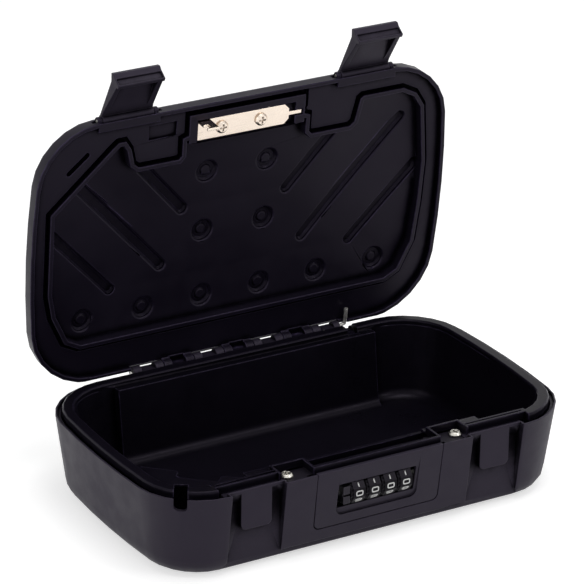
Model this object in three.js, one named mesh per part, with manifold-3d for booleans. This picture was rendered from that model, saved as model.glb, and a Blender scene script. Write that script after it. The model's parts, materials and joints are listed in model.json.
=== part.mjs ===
// Portable car safe with a four-wheel number lock, shown with its lid and two latches open.
// Millimetres. X runs along the length, Y to the back where the hinge is, Z up.
// The origin is the middle of the face that the safe rests on.

import * as THREE from 'three';
import Module from 'manifold-3d';
import { mergeVertices } from 'three/addons/utils/BufferGeometryUtils.js';

const wasm = await Module();
wasm.setup();

// Whole safe
const safeLength = 213;
const safeDepth = 129;
const baseHeight = 39.7;
const cornerStraight = 5.9;
const backCornerMore = 2;
const leastCorner = 5;
const cornerInsetShare = 0.8;
const endBowShare = 0.047;
const wallDraft = THREE.MathUtils.degToRad(7.7);
const fitGap = 0.3;
const farAway = 300;
const mergeWithin = 1e-5;

// Base shell
const shellWall = 2.4;
const shellFloor = 2.4;
const baseRound = 9;
const rimEdge = 1;
const ledgeDrop = 1.4;

// Base liner, with places measured in from the front face
const linerGap = 6.6;
const linerWall = 2;
const linerFloorFrom = 2.7;
const linerFloor = 1.9;
const linerRound = 6;
const lipFrom = 3.2;
const lipTo = 8.6;
const lipRise = 2.4;
const lipEdge = 0.6;
const deckThick = 1.1;
const deckLow = 1;
const bandPast = 4.9;
const bandFrontIn = 6.7;
const bandBackIn = 10.2;
const bandGrooveFrontIn = 8.1;
const bandGrooveBackIn = 8.8;
const bandGrooveDeep = 0.8;
const stripBackIn = 4.6;
const pocketBackIn = 13.2;
const pocketPast = 4.1;
const pocketWall = 1.2;
const cornerCutEndIn = 7.5;
const cornerCutEndBack = 40.2;
const cornerCutSideIn = 10.5;
const cornerCutFrontIn = 11.5;
const cornerPadShares = [[0.02, 0.42], [0.86, 1.14]];
const cornerPadThick = 6;

// Front recesses that the latches close over
const recessWide = 26.4;
const recessDeep = 5;
const recessSlopeTop = 1.5;
const recessSlopeEnd = 7;
const padWide = 15.2;
const padDeep = 2.9;
const padCorner = 2.6;

// Cable notch in the front left corner
const notchEndIn = 12.1;
const notchFrontIn = 8.5;
const notchTurn = THREE.MathUtils.degToRad(-30);
const notchWide = 5.8;
const notchDeep = 5.8;
const notchReach = 14;
const notchCorner = 2.1;

// Hinge
const hingeOut = 0.7;
const hingeRise = 0.2;
const hingeMiddle = 1.48;
const lidOpen = THREE.MathUtils.degToRad(84.2);
const knucklePitch = 15.68;
const knuckleCount = 7;
const knuckleRadius = 3;
const knuckleClear = 0.4;
const pinRadius = 0.95;
const pinBore = 1.15;
const pinTail = 9;
const pinBend = 2.6;
const pinTailRoom = 1.4;
const knuckleSlotLong = 7;
const knuckleSlotHigh = 1.7;
const knuckleFoot = 9;
const hingeZoneLeftPast = 13.6;
const hingeZoneRightPast = 11.6;
const hingeZoneInset = 12.6;

// Number wheels
const wheelCount = 4;
const wheelsMiddle = 1.2;
const wheelPitch = 7.93;
const wheelRadius = 6.5;
const wheelSides = 10;
const wheelWide = 6.1;
const wheelFrontIn = 6.4;
const wheelDrop = 13.7;
const gripWide = 1.1;
const gripRadius = 6.2;
const gripDepth = 0.5;
const gripTeeth = 20;
const sleeveRadius = 3.1;
const sleeveFit = 0.1;
const sleeveBore = 1.75;
const axleRadius = 1.5;
const gateWide = 1.4;
const finWide = 1.1;
const finThick = 0.4;
const finHigh = 2.6;
const finSink = 0.5;

// Release slide, bolt and springs
const slideTravel = 1.6;
const slideGap = 0.25;
const slideWide = 3.4;
const slideFrontIn = 0.9;
const slideBackIn = 9.5;
const slideUnderAxle = 4.1;
const slideOverAxle = 4.2;
const slideGroove = 0.8;
const cheekGap = 4.9;
const cheekThick = 1.3;
const boltPast = 3.4;
const boltThick = 1.3;
const boltNose = 3;
const boltFootUnder = 1;
const boltLowDrop = 8.7;
const boltBarDrop = 5.5;
const boltNoseDrop = 5.3;
const boltTopDrop = 3.3;
const springRadius = 1.95;
const springWire = 0.22;
const springTurns = 4;
const leafThick = 0.4;
const leafUp = 5;
const leafOverAxle = 4;
const leafSlot = 1.6;
const leafGap = 0.25;

// Lock case and its screws
const caseSide = 3.7;
const caseBackIn = 15.5;
const caseBottom = 9;
const caseWall = 1.8;
const caseDrop = 3.4;
const caseLid = 1.6;
const caseFrontInset = 4.1;
const earPast = 2.5;
const earThick = 3.6;
const earDrop = 1.6;
const earFront = 1.9;
const screwPast = 10.5;
const screwFrontIn = 8.4;
const bossRadius = 3.6;
const screwHead = 3;
const screwHeadHigh = 1.7;
const headTopShare = 0.72;
const headSideShare = 0.55;
const screwShank = 1.3;
const screwLong = 12;
const screwFit = 0.2;
const crossWide = 0.8;
const crossLong = 3.4;
const crossDeep = 0.8;

// Lock panel in the front wall
const panelSide = 1.2;
const panelTaper = 1.5;
const panelBottom = 11.2;
const panelCorner = 3;
const panelFlange = 1.3;
const panelFlangeLap = 1.6;
const panelFlangeDrop = 1.6;
const panelFit = 0.15;
const windowPlay = 0.1;
const windowRightRoom = 2.46;
const windowUnderAxle = 5.4;
const windowOverAxle = 5.6;
const scoopLeftPast = 0.6;
const scoopRightPast = 1.4;
const scoopLowShare = 0.532;
const scoopTopDrop = 2.7;
const scoopCorner = 3.4;
const scoopDeep = 0.9;
const bayShort = 3.4;
const bayWallInset = 15.8;
const baySideInset = 8.2;

// Lid
const lidWallHigh = 5;
const lidWallLean = 0.2;
const lidRound = 3;
const domeRises = { first: 9, second: 10, third: 10.8, top: 11.2 };
const domeInsets = { first: 12, second: 24, third: 38, top: 52 };
const lidSkin = 2.4;
const lidRim = 2;
const shelfDeep = 2.8;
const fenceTop = 1.2;
const fenceWall = 2.1;
const fenceGroove = 1.5;
const fenceGrooveDeep = 5;
const grooveHalf = 2.6;
const reliefDeep = 1.3;
const dimpleRadius = 5.2;
const shelfSlotHalf = 1.1;
const shelfSlitHalf = 0.7;
const shelfSlotDeep = 1.2;
const stepLong = 13.6;
const stepGap = 5.8;
const stepFrontIn = 7.3;
const stepBackIn = 14.1;
const strikeBlockSide = 1.5;
const strikeBlockFrontIn = 5.1;
const strikeBlockBackIn = 19.1;

// Places in the lid as shares of half its length and half its depth
const dimpleShares = [[0.566, [0.142, 0.425, 0.716]], [0.057, [0.149]], [-0.409, [0.146]]];
const grooveShares = [[[0.254, -0.147], [0.455, -0.527]], [[0.347, 0.264], [0.789, -0.55]],
  [[0.587, 0.372], [0.883, -0.163]]];
const slotShares = [[-0.826, -0.642], [-0.744, -0.757]];
const slitShares = [[0.291, -0.936], [0.291, -0.816]];

// The fence inside the lid. It steps round the strike block, then round each latch: there its
// places are shares of a recess's width from the recess's middle, and shares of the depth from the
// front. Its ends are shares of half sizes.
const fenceJog = 3;
const fenceBevel = 1.4;
const fenceBlockShares = [0.1155, 0.1235, 0.188, 0.2];
const fenceRecessRightShares = [[-0.242, 0.2], [-0.152, 0.185], [-0.06, 0.1], [0, 0.091]];
const fenceRecessLeftShares = [[0.273, 0.111], [0.16, 0.091], [0.023, 0.091], [-0.083, 0.125],
  [-0.152, 0.185], [-0.242, 0.2]];
const fenceRightShares = [[0.768, -0.819], [0.836, -0.76], [0.879, -0.651], [0.91, -0.202], [0.905, 0.124],
  [0.888, 0.44], [0.824, 0.667], [0.751, 0.732]];
const fenceLeftShares = [[-0.751, 0.735], [-0.823, 0.67], [-0.888, 0.446], [-0.91, 0.264], [-0.91, -0.36]];

// Strike plate on the lid
const plateFromBolt = 1.8;
const plateLong = 46.6;
const plateFrontIn = 8.7;
const plateBackIn = 18.5;
const plateFace = 1.9;
const plateThick = 1.2;
const plateChamfer = 2.4;
const plateFit = 0.4;
const tongueLong = 6.4;
const tongueHalf = 0.9;
const tabWide = 5.8;
const tabReach = 8.6;
const tabNotchDeep = 2.4;
const tabNotchLow = 5.9;
const tabNotchHigh = 2.9;
const plateScrewFirst = 12;
const plateScrewApart = 20;
const plateScrewLong = 4;

// Latches
const latchAxisIn = 0.1;
const latchAxisRise = 3.2;
const latchOpen = THREE.MathUtils.degToRad(70);
const latchRootHalf = 12.6;
const latchEndHalf = 11.5;
const latchBarrel = 2.2;
const latchPinRadius = 0.8;
const latchPinBore = 1;
const latchWebInner = 0.4;
const latchWebThick = 1.8;
const latchHookAt = 22.6;
const latchHookThick = 1.8;
const latchHookReach = 4.2;
const latchTipAt = 25.2;
const latchTipFlare = 1.7;
const latchRibHigh = 3;
const latchRibThick = 1.7;
const latchRibFrom = 4.5;
const lugRadius = 1.9;
const lugWide = 2;
const latchPocket = 2.7;
const latchZoneRim = 4.4;

// Heights and depths that follow from these
const halfLength = safeLength / 2;
const halfDepth = safeDepth / 2;
const draftSlope = Math.tan(wallDraft);
const lidBottom = baseHeight;
const hingeY = halfDepth + hingeOut;
const hingeZ = baseHeight + hingeRise;
const latchAxisY = -halfDepth + latchAxisIn;
const latchAxisZ = baseHeight + latchAxisRise;
const padBottom = latchAxisZ - latchHookAt + fitGap;
const wheelY = -halfDepth + wheelFrontIn;
const wheelZ = baseHeight - wheelDrop;
const slideFront = -halfDepth + slideFrontIn;
const slideBack = -halfDepth + slideBackIn;
const slideBottom = wheelZ - slideUnderAxle;
const slideTop = wheelZ + slideOverAxle;
const boltBottom = wheelZ - boltFootUnder;
const boltLow = baseHeight - boltLowDrop;
const boltBarTop = baseHeight - boltBarDrop;
const boltNoseBottom = baseHeight - boltNoseDrop;
const boltTop = baseHeight - boltTopDrop;
const caseBack = -halfDepth + caseBackIn;
const leafBottom = caseBottom + leafUp;
const leafTop = wheelZ + leafOverAxle;
const windowBottom = wheelZ - windowUnderAxle;
const windowTop = wheelZ + windowOverAxle;
const scoopTop = baseHeight - scoopTopDrop;
const scoopBottom = panelBottom + (windowBottom - panelBottom) * scoopLowShare;
const plateFront = -halfDepth + plateFrontIn;
const plateBack = -halfDepth + plateBackIn;
const plateMiddle = (plateFront + plateBack) / 2;
const bandFront = -halfDepth + bandFrontIn;
const bandBack = -halfDepth + bandBackIn;
const stripBack = -halfDepth + stripBackIn;
const pocketBack = -halfDepth + pocketBackIn;
const earBack = pocketBack - fitGap;
const screwY = -halfDepth + screwFrontIn;

// Places along the length, from the wheels outwards: slide, bolt, case, panel, screws, recesses, corners
const wheelFirst = wheelsMiddle - wheelPitch * (wheelCount - 1) / 2;
const wheelsRight = wheelFirst + wheelPitch * (wheelCount - 1) + wheelWide / 2;
const slideLeft = wheelFirst - wheelWide / 2 - gripWide - slideGap - slideWide;
const cheekLeft = slideLeft - cheekGap;
const boltLeft = cheekLeft - boltPast;
const boltNoseRight = boltLeft + boltNose;
const windowLeft = slideLeft - slideTravel - windowPlay;
const windowRight = wheelsRight + windowRightRoom;
const scoopLeft = windowLeft - scoopLeftPast;
const scoopRight = windowRight + scoopRightPast;
const caseHalf = caseSide - boltLeft;
const panelBottomHalf = caseHalf + panelSide;
const panelTopHalf = panelBottomHalf + panelTaper;
const troughHalf = caseHalf + fitGap * 2;
const pocketInner = troughHalf + pocketWall;
const screwX = pocketInner + screwPast;
const pocketOuter = screwX + pocketPast;
const earOuter = pocketOuter + earPast;
const recessMiddle = pocketOuter + fitGap + recessWide / 2;
const bandHalf = recessMiddle + recessWide / 2 + bandPast;
const bayHalf = recessMiddle - bayShort;
const frontCorner = halfLength - recessMiddle - recessWide / 2 - cornerStraight;
const backCorner = frontCorner + backCornerMore;
const strikeBlockHalf = troughHalf - strikeBlockSide;
const plateLeft = boltLeft + plateFromBolt;
const plateRight = plateLeft + plateLong;
const tongueRight = plateRight + tongueLong;
const tabRight = plateLeft + tabWide;
const plateScrews = [plateLeft + plateScrewFirst, plateLeft + plateScrewFirst + plateScrewApart];
const knuckleFrom = hingeMiddle - knucklePitch * knuckleCount / 2;
const hingeZoneLeft = knuckleFrom - hingeZoneLeftPast;
const hingeZoneRight = knuckleFrom + knucklePitch * knuckleCount + hingeZoneRightPast;
const notchMiddle = [notchEndIn - halfLength, notchFrontIn - halfDepth];
const cornerCut = [[cornerCutEndIn - halfLength, cornerCutEndBack - halfDepth],
  [cornerCutSideIn - bandHalf, cornerCutFrontIn - halfDepth]];
const domeSteps = Object.keys(domeRises);

// Solids from three.js geometry, and their joins and cuts

function solidOf(geometry) {
  const plain = geometry.clone();
  plain.deleteAttribute('normal');
  plain.deleteAttribute('uv');
  const merged = mergeVertices(plain, mergeWithin);
  return new wasm.Manifold(new wasm.Mesh({
    numProp: 3,
    vertProperties: new Float32Array(merged.attributes.position.array),
    triVerts: new Uint32Array(merged.index.array),
  }));
}

function geometryOf(solid) {
  const mesh = solid.getMesh();
  const geometry = new THREE.BufferGeometry();
  geometry.setAttribute('position', new THREE.BufferAttribute(new Float32Array(mesh.vertProperties), 3));
  geometry.setIndex(new THREE.BufferAttribute(new Uint32Array(mesh.triVerts), 1));
  geometry.computeVertexNormals();
  return geometry;
}

function joined(solids) {
  return solids.reduce((all, one) => all.add(one));
}

// An outline in two directions, drawn out along the third: points are (x, y), (x, z) or (y, z)
function prism(points, axis, from, to) {
  const shape = points instanceof THREE.Shape ? points
    : new THREE.Shape(points.map(([a, b]) => new THREE.Vector2(a, b)));
  const geometry = new THREE.ExtrudeGeometry(shape,
    { depth: to - from, bevelEnabled: false, curveSegments: 5 });
  const x = new THREE.Vector3(1, 0, 0);
  const y = new THREE.Vector3(0, 1, 0);
  const z = new THREE.Vector3(0, 0, 1);
  const turn = new THREE.Matrix4();
  if (axis === 'x') {
    turn.makeBasis(y, z, x).setPosition(from, 0, 0);
  } else if (axis === 'y') {
    turn.makeBasis(x, z, y.negate()).setPosition(0, to, 0);
  } else {
    turn.makeBasis(x, y, z).setPosition(0, 0, from);
  }
  geometry.applyMatrix4(turn);
  return solidOf(geometry);
}

function box(x0, x1, y0, y1, z0, z1) {
  return prism([[x0, y0], [x1, y0], [x1, y1], [x0, y1]], 'z', z0, z1);
}

function rod(axis, radius, a, b, from, to, sides = 20) {
  const shape = new THREE.Shape();
  for (let i = 0; i < sides; i += 1) {
    const turn = (i + 0.5) / sides * 2 * Math.PI;
    const point = [a + radius * Math.cos(turn), b + radius * Math.sin(turn)];
    if (i) {
      shape.lineTo(...point);
    } else {
      shape.moveTo(...point);
    }
  }
  return prism(shape, axis, from, to);
}

// A rectangle with rounded lower corners
function cupShape(left, right, bottom, top, radius) {
  const shape = new THREE.Shape();
  shape.moveTo(left, top);
  shape.lineTo(left, bottom + radius);
  shape.absarc(left + radius, bottom + radius, radius, Math.PI, 1.5 * Math.PI);
  shape.absarc(right - radius, bottom + radius, radius, 1.5 * Math.PI, 2 * Math.PI);
  shape.lineTo(right, top);
  return shape;
}

// A slot with round ends from one point to another
function slotShape([x0, y0], [x1, y1], half) {
  const turn = Math.atan2(y1 - y0, x1 - x0);
  const shape = new THREE.Shape();
  shape.absarc(x1, y1, half, turn - Math.PI / 2, turn + Math.PI / 2);
  shape.absarc(x0, y0, half, turn + Math.PI / 2, turn + 1.5 * Math.PI);
  return shape;
}

// The plan of the safe, drawn in by an inset: round corners and short sides that bow outward
function plan(inset) {
  const points = [];
  const cornerSteps = 6;
  const sideSteps = 4;
  const corners = [[1, -1, -90, frontCorner], [1, 1, 0, backCorner], [-1, 1, 90, backCorner],
    [-1, -1, 180, frontCorner]];
  corners.forEach(([sideX, sideY, start, full], index) => {
    const radius = Math.max(full - inset * cornerInsetShare, leastCorner);
    const centreX = sideX * (halfLength - inset - radius);
    const centreY = sideY * (halfDepth - inset - radius);
    for (let i = 0; i <= cornerSteps; i += 1) {
      const turn = THREE.MathUtils.degToRad(start + 90 * i / cornerSteps);
      points.push([centreX + radius * Math.cos(turn), centreY + radius * Math.sin(turn)]);
    }
    if (index % 2 === 0) {
      const fromY = points[points.length - 1][1];
      const nextRadius = Math.max((index ? frontCorner : backCorner) - inset * cornerInsetShare,
        leastCorner);
      const toY = -sideY * (halfDepth - inset - nextRadius);
      for (let i = 1; i < sideSteps; i += 1) {
        points.push([sideX * (halfLength - inset), fromY + (toY - fromY) * i / sideSteps]);
      }
    }
  });
  return points.map(([x, y]) => [x * (1 - endBowShare * (y / halfDepth) ** 2), y]);
}

// A closed body through plans at rising heights
function loft(levels) {
  const rings = levels.map(([inset, z]) => plan(inset).map(([x, y]) => [x, y, z]));
  const count = rings[0].length;
  const index = [];
  for (let level = 0; level + 1 < rings.length; level += 1) {
    for (let i = 0; i < count; i += 1) {
      const a = level * count + i;
      const b = level * count + (i + 1) % count;
      index.push(a, b, b + count, a, b + count, a + count);
    }
  }
  const last = (rings.length - 1) * count;
  const contour = rings[0].map(([x, y]) => new THREE.Vector2(x, y));
  for (const [a, b, c] of THREE.ShapeUtils.triangulateShape(contour, [])) {
    index.push(a, c, b, last + a, last + b, last + c);
  }
  const geometry = new THREE.BufferGeometry();
  geometry.setAttribute('position', new THREE.Float32BufferAttribute(rings.flat(2), 3));
  geometry.setIndex(index);
  return solidOf(geometry);
}

// The drafted tub shape of the base, in by an inset, from a rounded floor up to a top
function tub(inset, floor, round, top) {
  const roundSteps = 4;
  const lean = (z) => inset + (baseHeight - z) * draftSlope;
  const levels = [];
  for (let i = 0; i <= roundSteps; i += 1) {
    const turn = Math.PI / 2 * i / roundSteps;
    const z = floor + round * (1 - Math.sin(Math.PI / 2 - turn));
    levels.push([lean(floor + round) + round * (1 - Math.sin(turn)), z]);
  }
  levels.push([lean(top), top]);
  return loft(levels);
}

// Where the front wall of the base lies at a height, in by an inset
function frontY(z, inset) {
  return -halfDepth + inset + (baseHeight - z) * draftSlope;
}

// The lid's outer shape from its rim up, in by an inset all over
function lidForm(inset, from, raise = 0) {
  const roundSteps = 3;
  const levels = [[inset, from]];
  for (let i = 0; i <= roundSteps; i += 1) {
    const turn = Math.PI / 2 * i / roundSteps;
    const round = lidRound * (1 - Math.cos(turn));
    levels.push([inset + lidWallLean + round,
      lidBottom + lidWallHigh - inset + raise + lidRound * Math.sin(turn)]);
  }
  for (const step of domeSteps) {
    levels.push([inset + domeInsets[step], lidBottom + domeRises[step] - inset + raise]);
  }
  return loft(levels);
}

// The knuckles of the base are the odd ones, those of the lid the even ones
function knuckleRange(number) {
  const from = knuckleFrom + number * knucklePitch;
  return [from, from + knucklePitch];
}

function knuckleNumbers(even) {
  return [...Array(knuckleCount).keys()].filter((number) => (number % 2 === 0) === even);
}

function bothSides(make) {
  return [-1, 1].map(make);
}

// Room for the bent end of the hinge pin, which lies along the lid
function pinTailSlot(top) {
  const x = knuckleRange(knuckleCount - 1)[1] + fitGap + pinBend;
  const half = pinRadius + fitGap;
  return box(x - pinBend - half, x + half, hingeY - pinTail - half, hingeY + half, hingeZ - half, top);
}

// A pan-head screw along its own Z, head up, with a cross in the head
function screwSolid(long) {
  const rounded = screwHead * headTopShare;
  const profile = [[0, -screwHeadHigh - long], [screwShank, -screwHeadHigh - long + screwShank],
    [screwShank, -screwHeadHigh], [screwHead, -screwHeadHigh], [screwHead, -screwHeadHigh * headSideShare],
    [rounded, 0], [0, 0]];
  const geometry = new THREE.LatheGeometry(profile.map(([r, z]) => new THREE.Vector2(r, z)), 16);
  geometry.rotateX(Math.PI / 2);
  const body = solidOf(geometry);
  const wide = crossWide / 2;
  const along = crossLong / 2;
  const cross = box(-along, along, -wide, wide, -crossDeep, farAway)
    .add(box(-wide, wide, -along, along, -crossDeep, farAway));
  return body.subtract(cross);
}

// Base

// A box over one latch recess, from far in front back to a depth
function recessZone(side, half, back) {
  return box(side * recessMiddle - half, side * recessMiddle + half, -farAway, back, -farAway, farAway);
}

// What a latch recess takes away: a shallow face at the rim, and a deeper floor with a sloped
// top round the pad
function recessCutter(side) {
  const padFace = -halfDepth + padDeep;
  const floorFace = -halfDepth + recessDeep;
  const half = recessWide / 2;
  const left = side * recessMiddle - half;
  const slope = [[-farAway, -farAway], [floorFace, -farAway], [floorFace, baseHeight - recessSlopeEnd],
    [padFace, baseHeight - recessSlopeTop], [-farAway, baseHeight - recessSlopeTop]];
  const pad = prism(cupShape(side * recessMiddle - padWide / 2, side * recessMiddle + padWide / 2,
    padBottom, farAway, padCorner), 'y', padFace, 0);
  return prism(slope, 'x', left, left + recessWide).subtract(pad).add(recessZone(side, half, padFace));
}

function notchCutter() {
  const shape = cupShape(-notchWide / 2, notchWide / 2, baseHeight - notchDeep, farAway, notchCorner);
  return prism(shape, 'y', -notchReach, notchReach).rotate([0, 0, THREE.MathUtils.radToDeg(notchTurn)])
    .translate([...notchMiddle, 0]);
}

function panelShape(out, top) {
  const shape = new THREE.Shape();
  const foot = panelBottomHalf + out;
  const low = panelBottom - out;
  shape.moveTo(-panelTopHalf - out, top);
  shape.lineTo(-foot, low + panelCorner);
  shape.absarc(-foot + panelCorner, low + panelCorner, panelCorner, Math.PI, 1.5 * Math.PI);
  shape.absarc(foot - panelCorner, low + panelCorner, panelCorner, 1.5 * Math.PI, 2 * Math.PI);
  shape.lineTo(panelTopHalf + out, top);
  return shape;
}

function baseKnuckles() {
  return joined(knuckleNumbers(true).map((number) => {
    const [from, to] = knuckleRange(number);
    const foot = [[hingeY - knuckleRadius * 2, hingeZ - knuckleFoot],
      [hingeY - knuckleRadius, hingeZ - knuckleFoot],
      [hingeY + knuckleRadius, hingeZ], [hingeY - knuckleRadius * 2, hingeZ - rimEdge]];
    return rod('x', knuckleRadius, hingeY, hingeZ, from + fitGap / 2, to - fitGap / 2)
      .add(prism(foot, 'x', from + fitGap / 2, to - fitGap / 2));
  }));
}

// Room round the other part's knuckles
function knuckleRoom(even) {
  return joined(knuckleNumbers(even).map((number) => {
    const [from, to] = knuckleRange(number);
    return rod('x', knuckleRadius + knuckleClear, hingeY, hingeZ, from - fitGap / 2, to + fitGap / 2);
  }));
}

function baseShell() {
  const half = recessWide / 2 + shellWall;
  const hollow = tub(shellWall, shellFloor, baseRound - shellWall, baseHeight + fitGap)
    .subtract(joined(bothSides((side) => recessZone(side, half, -halfDepth + recessDeep + shellWall))));
  const outer = tub(0, 0, baseRound, baseHeight);
  let body = outer.subtract(joined(bothSides(recessCutter))).add(baseKnuckles());
  const [, hingeEnd] = knuckleRange(knuckleCount - 1);
  const ledgeFrom = baseHeight - ledgeDrop;
  const ledge = loft([[rimEdge, ledgeFrom], [rimEdge, farAway]])
    .subtract(box(knuckleFrom, hingeEnd, hingeY - rimEdge * 5, farAway, 0, farAway))
    .subtract(joined(bothSides((side) => recessZone(side, recessWide / 2 + rimEdge,
      -halfDepth + padDeep + rimEdge))));
  body = body.subtract(hollow).subtract(ledge);
  const earUnder = baseHeight - earDrop - earThick;
  const bosses = joined(bothSides((side) => rod('z', bossRadius, side * screwX, screwY, shellFloor / 2,
    earUnder)));
  body = body.add(bosses.intersect(outer));
  for (const side of [-1, 1]) {
    const inner = Math.min(side * panelTopHalf, side * (recessMiddle - half));
    const outerEnd = Math.max(side * panelTopHalf, side * (recessMiddle - half));
    body = body.subtract(rod('z', screwShank + screwFit, side * screwX, screwY, earUnder - screwLong,
      farAway, 12));
    body = body.subtract(rod('z', screwHead + screwFit, side * screwX, screwY,
      baseHeight - earDrop - fitGap, farAway));
    body = body.subtract(box(inner, outerEnd, -halfDepth + earFront - fitGap, screwY, earUnder - fitGap,
      farAway));
  }
  const opening = prism(panelShape(0, farAway), 'y', -farAway, -halfDepth + recessDeep + shellWall);
  body = body.subtract(opening).subtract(notchCutter());
  body = body.subtract(knuckleRoom(false))
    .subtract(rod('x', pinBore, hingeY, hingeZ, -farAway, farAway, 12));
  const slots = joined(knuckleNumbers(true).map((number) => {
    const middle = knuckleRange(number)[0] + knucklePitch / 2;
    return box(middle - knuckleSlotLong / 2, middle + knuckleSlotLong / 2, hingeY - knuckleRadius - rimEdge,
      hingeY + knuckleRadius, hingeZ + pinBore, hingeZ + pinBore + knuckleSlotHigh * 2);
  }));
  return body.subtract(slots).subtract(pinTailSlot(farAway));
}

// The diagonal wall across the front left corner: how far out from it a point lies, and along it as a share
function cornerPoint(share, out) {
  const [[x0, y0], [x1, y1]] = cornerCut;
  const long = Math.hypot(x1 - x0, y1 - y0);
  return [x0 + (x1 - x0) * share + (y1 - y0) / long * out, y0 + (y1 - y0) * share - (x1 - x0) / long * out];
}

// The room inside the liner, or the outside of its wall when grown by the wall's thickness
function linerRoom(grow, floor, round) {
  const inset = linerGap + linerWall - grow;
  const high = farAway / 2;
  const pastShare = 1;
  const back = box(hingeZoneLeft + grow, hingeZoneRight - grow, 0, farAway, 0, farAway)
    .subtract(tub(hingeZoneInset - grow, floor, round, high));
  const bay = box(-bayHalf - linerWall + grow, bayHalf + linerWall - grow, -farAway, 0, 0, farAway)
    .subtract(tub(bayWallInset + linerWall - grow, floor, round, high));
  const frontHalf = bandHalf - linerWall + grow;
  const front = box(-frontHalf, frontHalf, -farAway, -halfDepth / 2, 0, farAway)
    .subtract(tub(baySideInset + linerWall - grow, floor, round, high));
  const corner = prism([cornerPoint(-pastShare, grow), cornerPoint(-pastShare, farAway),
    cornerPoint(1 + pastShare, farAway), cornerPoint(1 + pastShare, grow)], 'z', 0, farAway);
  return tub(inset, floor, round, high).subtract(back).subtract(bay).subtract(front).subtract(corner);
}

// The raised lip: a ring round the mouth, set back behind the latches and led round the two screw pockets
function raisedLip() {
  const top = baseHeight + lipRise;
  const low = baseHeight - deckThick;
  const slab = (x0, x1, y0, y1) => box(x0, x1, y0, y1, low, top);
  const ring = loft([[lipFrom, low], [lipFrom, top - lipEdge], [lipFrom + lipEdge, top]])
    .subtract(loft([[lipTo, 0], [lipTo, top - lipEdge], [lipTo - lipEdge * 2, top + lipEdge]]))
    .subtract(slab(-bandHalf, bandHalf, -farAway, 0));
  const pocketEdge = pocketOuter + pocketWall;
  const band = joined(bothSides((side) => {
    const inner = side * (pocketEdge - pocketWall / 2);
    const outer = side * (bandHalf + pocketWall);
    return slab(Math.min(inner, outer), Math.max(inner, outer), bandFront, bandBack)
      .subtract(box(Math.min(inner, outer - side * lipRise), Math.max(inner, outer - side * lipRise),
        bandGrooveFrontIn - halfDepth, bandGrooveBackIn - halfDepth, top - bandGrooveDeep, farAway));
  }));
  const rounds = slab(-pocketEdge, pocketEdge, -halfDepth + lipFrom, pocketBack + pocketWall)
    .subtract(joined(bothSides((side) => slab(Math.min(side * pocketInner, side * pocketOuter),
      Math.max(side * pocketInner, side * pocketOuter), -farAway, pocketBack))))
    .subtract(slab(-troughHalf, troughHalf, stripBack, 0))
    .subtract(joined(bothSides((side) => slab(Math.min(side * pocketOuter, side * pocketEdge),
      Math.max(side * pocketOuter, side * pocketEdge), -farAway, bandFront - pocketWall))));
  return joined([ring, band, rounds]);
}

function baseLiner() {
  const pads = joined(cornerPadShares.map(([from, to]) => prism([cornerPoint(from, -cornerPadThick),
    cornerPoint(from, linerWall / 2), cornerPoint(to, linerWall / 2), cornerPoint(to, -cornerPadThick)],
      'z', 0, farAway)));
  const room = linerRoom(0, linerFloorFrom + linerFloor, linerRound - linerWall / 2).subtract(pads);
  const wall = linerRoom(linerWall, linerFloorFrom, linerRound)
    .intersect(box(-farAway, farAway, -farAway, farAway, 0, baseHeight - deckThick / 2));
  let deck = loft([[lipFrom, baseHeight - deckThick], [lipFrom, baseHeight]]);
  const front = box(-bandHalf, bandHalf, -farAway, bandFront, 0, farAway);
  const pockets = joined(bothSides((side) => box(Math.min(side * pocketInner, side * pocketOuter),
    Math.max(side * pocketInner, side * pocketOuter), -farAway, pocketBack, 0, farAway)));
  const trough = box(-troughHalf, troughHalf, -farAway, caseBack + fitGap, 0, farAway);
  deck = deck.subtract(front).subtract(pockets).subtract(trough);
  const lip = deck.subtract(room).add(raisedLip());
  const lowMiddle = box(-troughHalf, troughHalf, stripBack, 0, baseHeight - deckLow, farAway);
  const hingeRoom = rod('x', knuckleRadius + knuckleClear, hingeY, hingeZ, knuckleFrom - fitGap * 2,
    knuckleRange(knuckleCount - 1)[1] + fitGap * 2);
  const body = wall.subtract(room).add(lip).subtract(lowMiddle).subtract(hingeRoom);
  return body.subtract(notchCutter()).subtract(pinTailSlot(farAway));
}

// Lock

function panelWindow() {
  return box(windowLeft, windowRight, -farAway, caseBack, windowBottom, windowTop);
}

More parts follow.
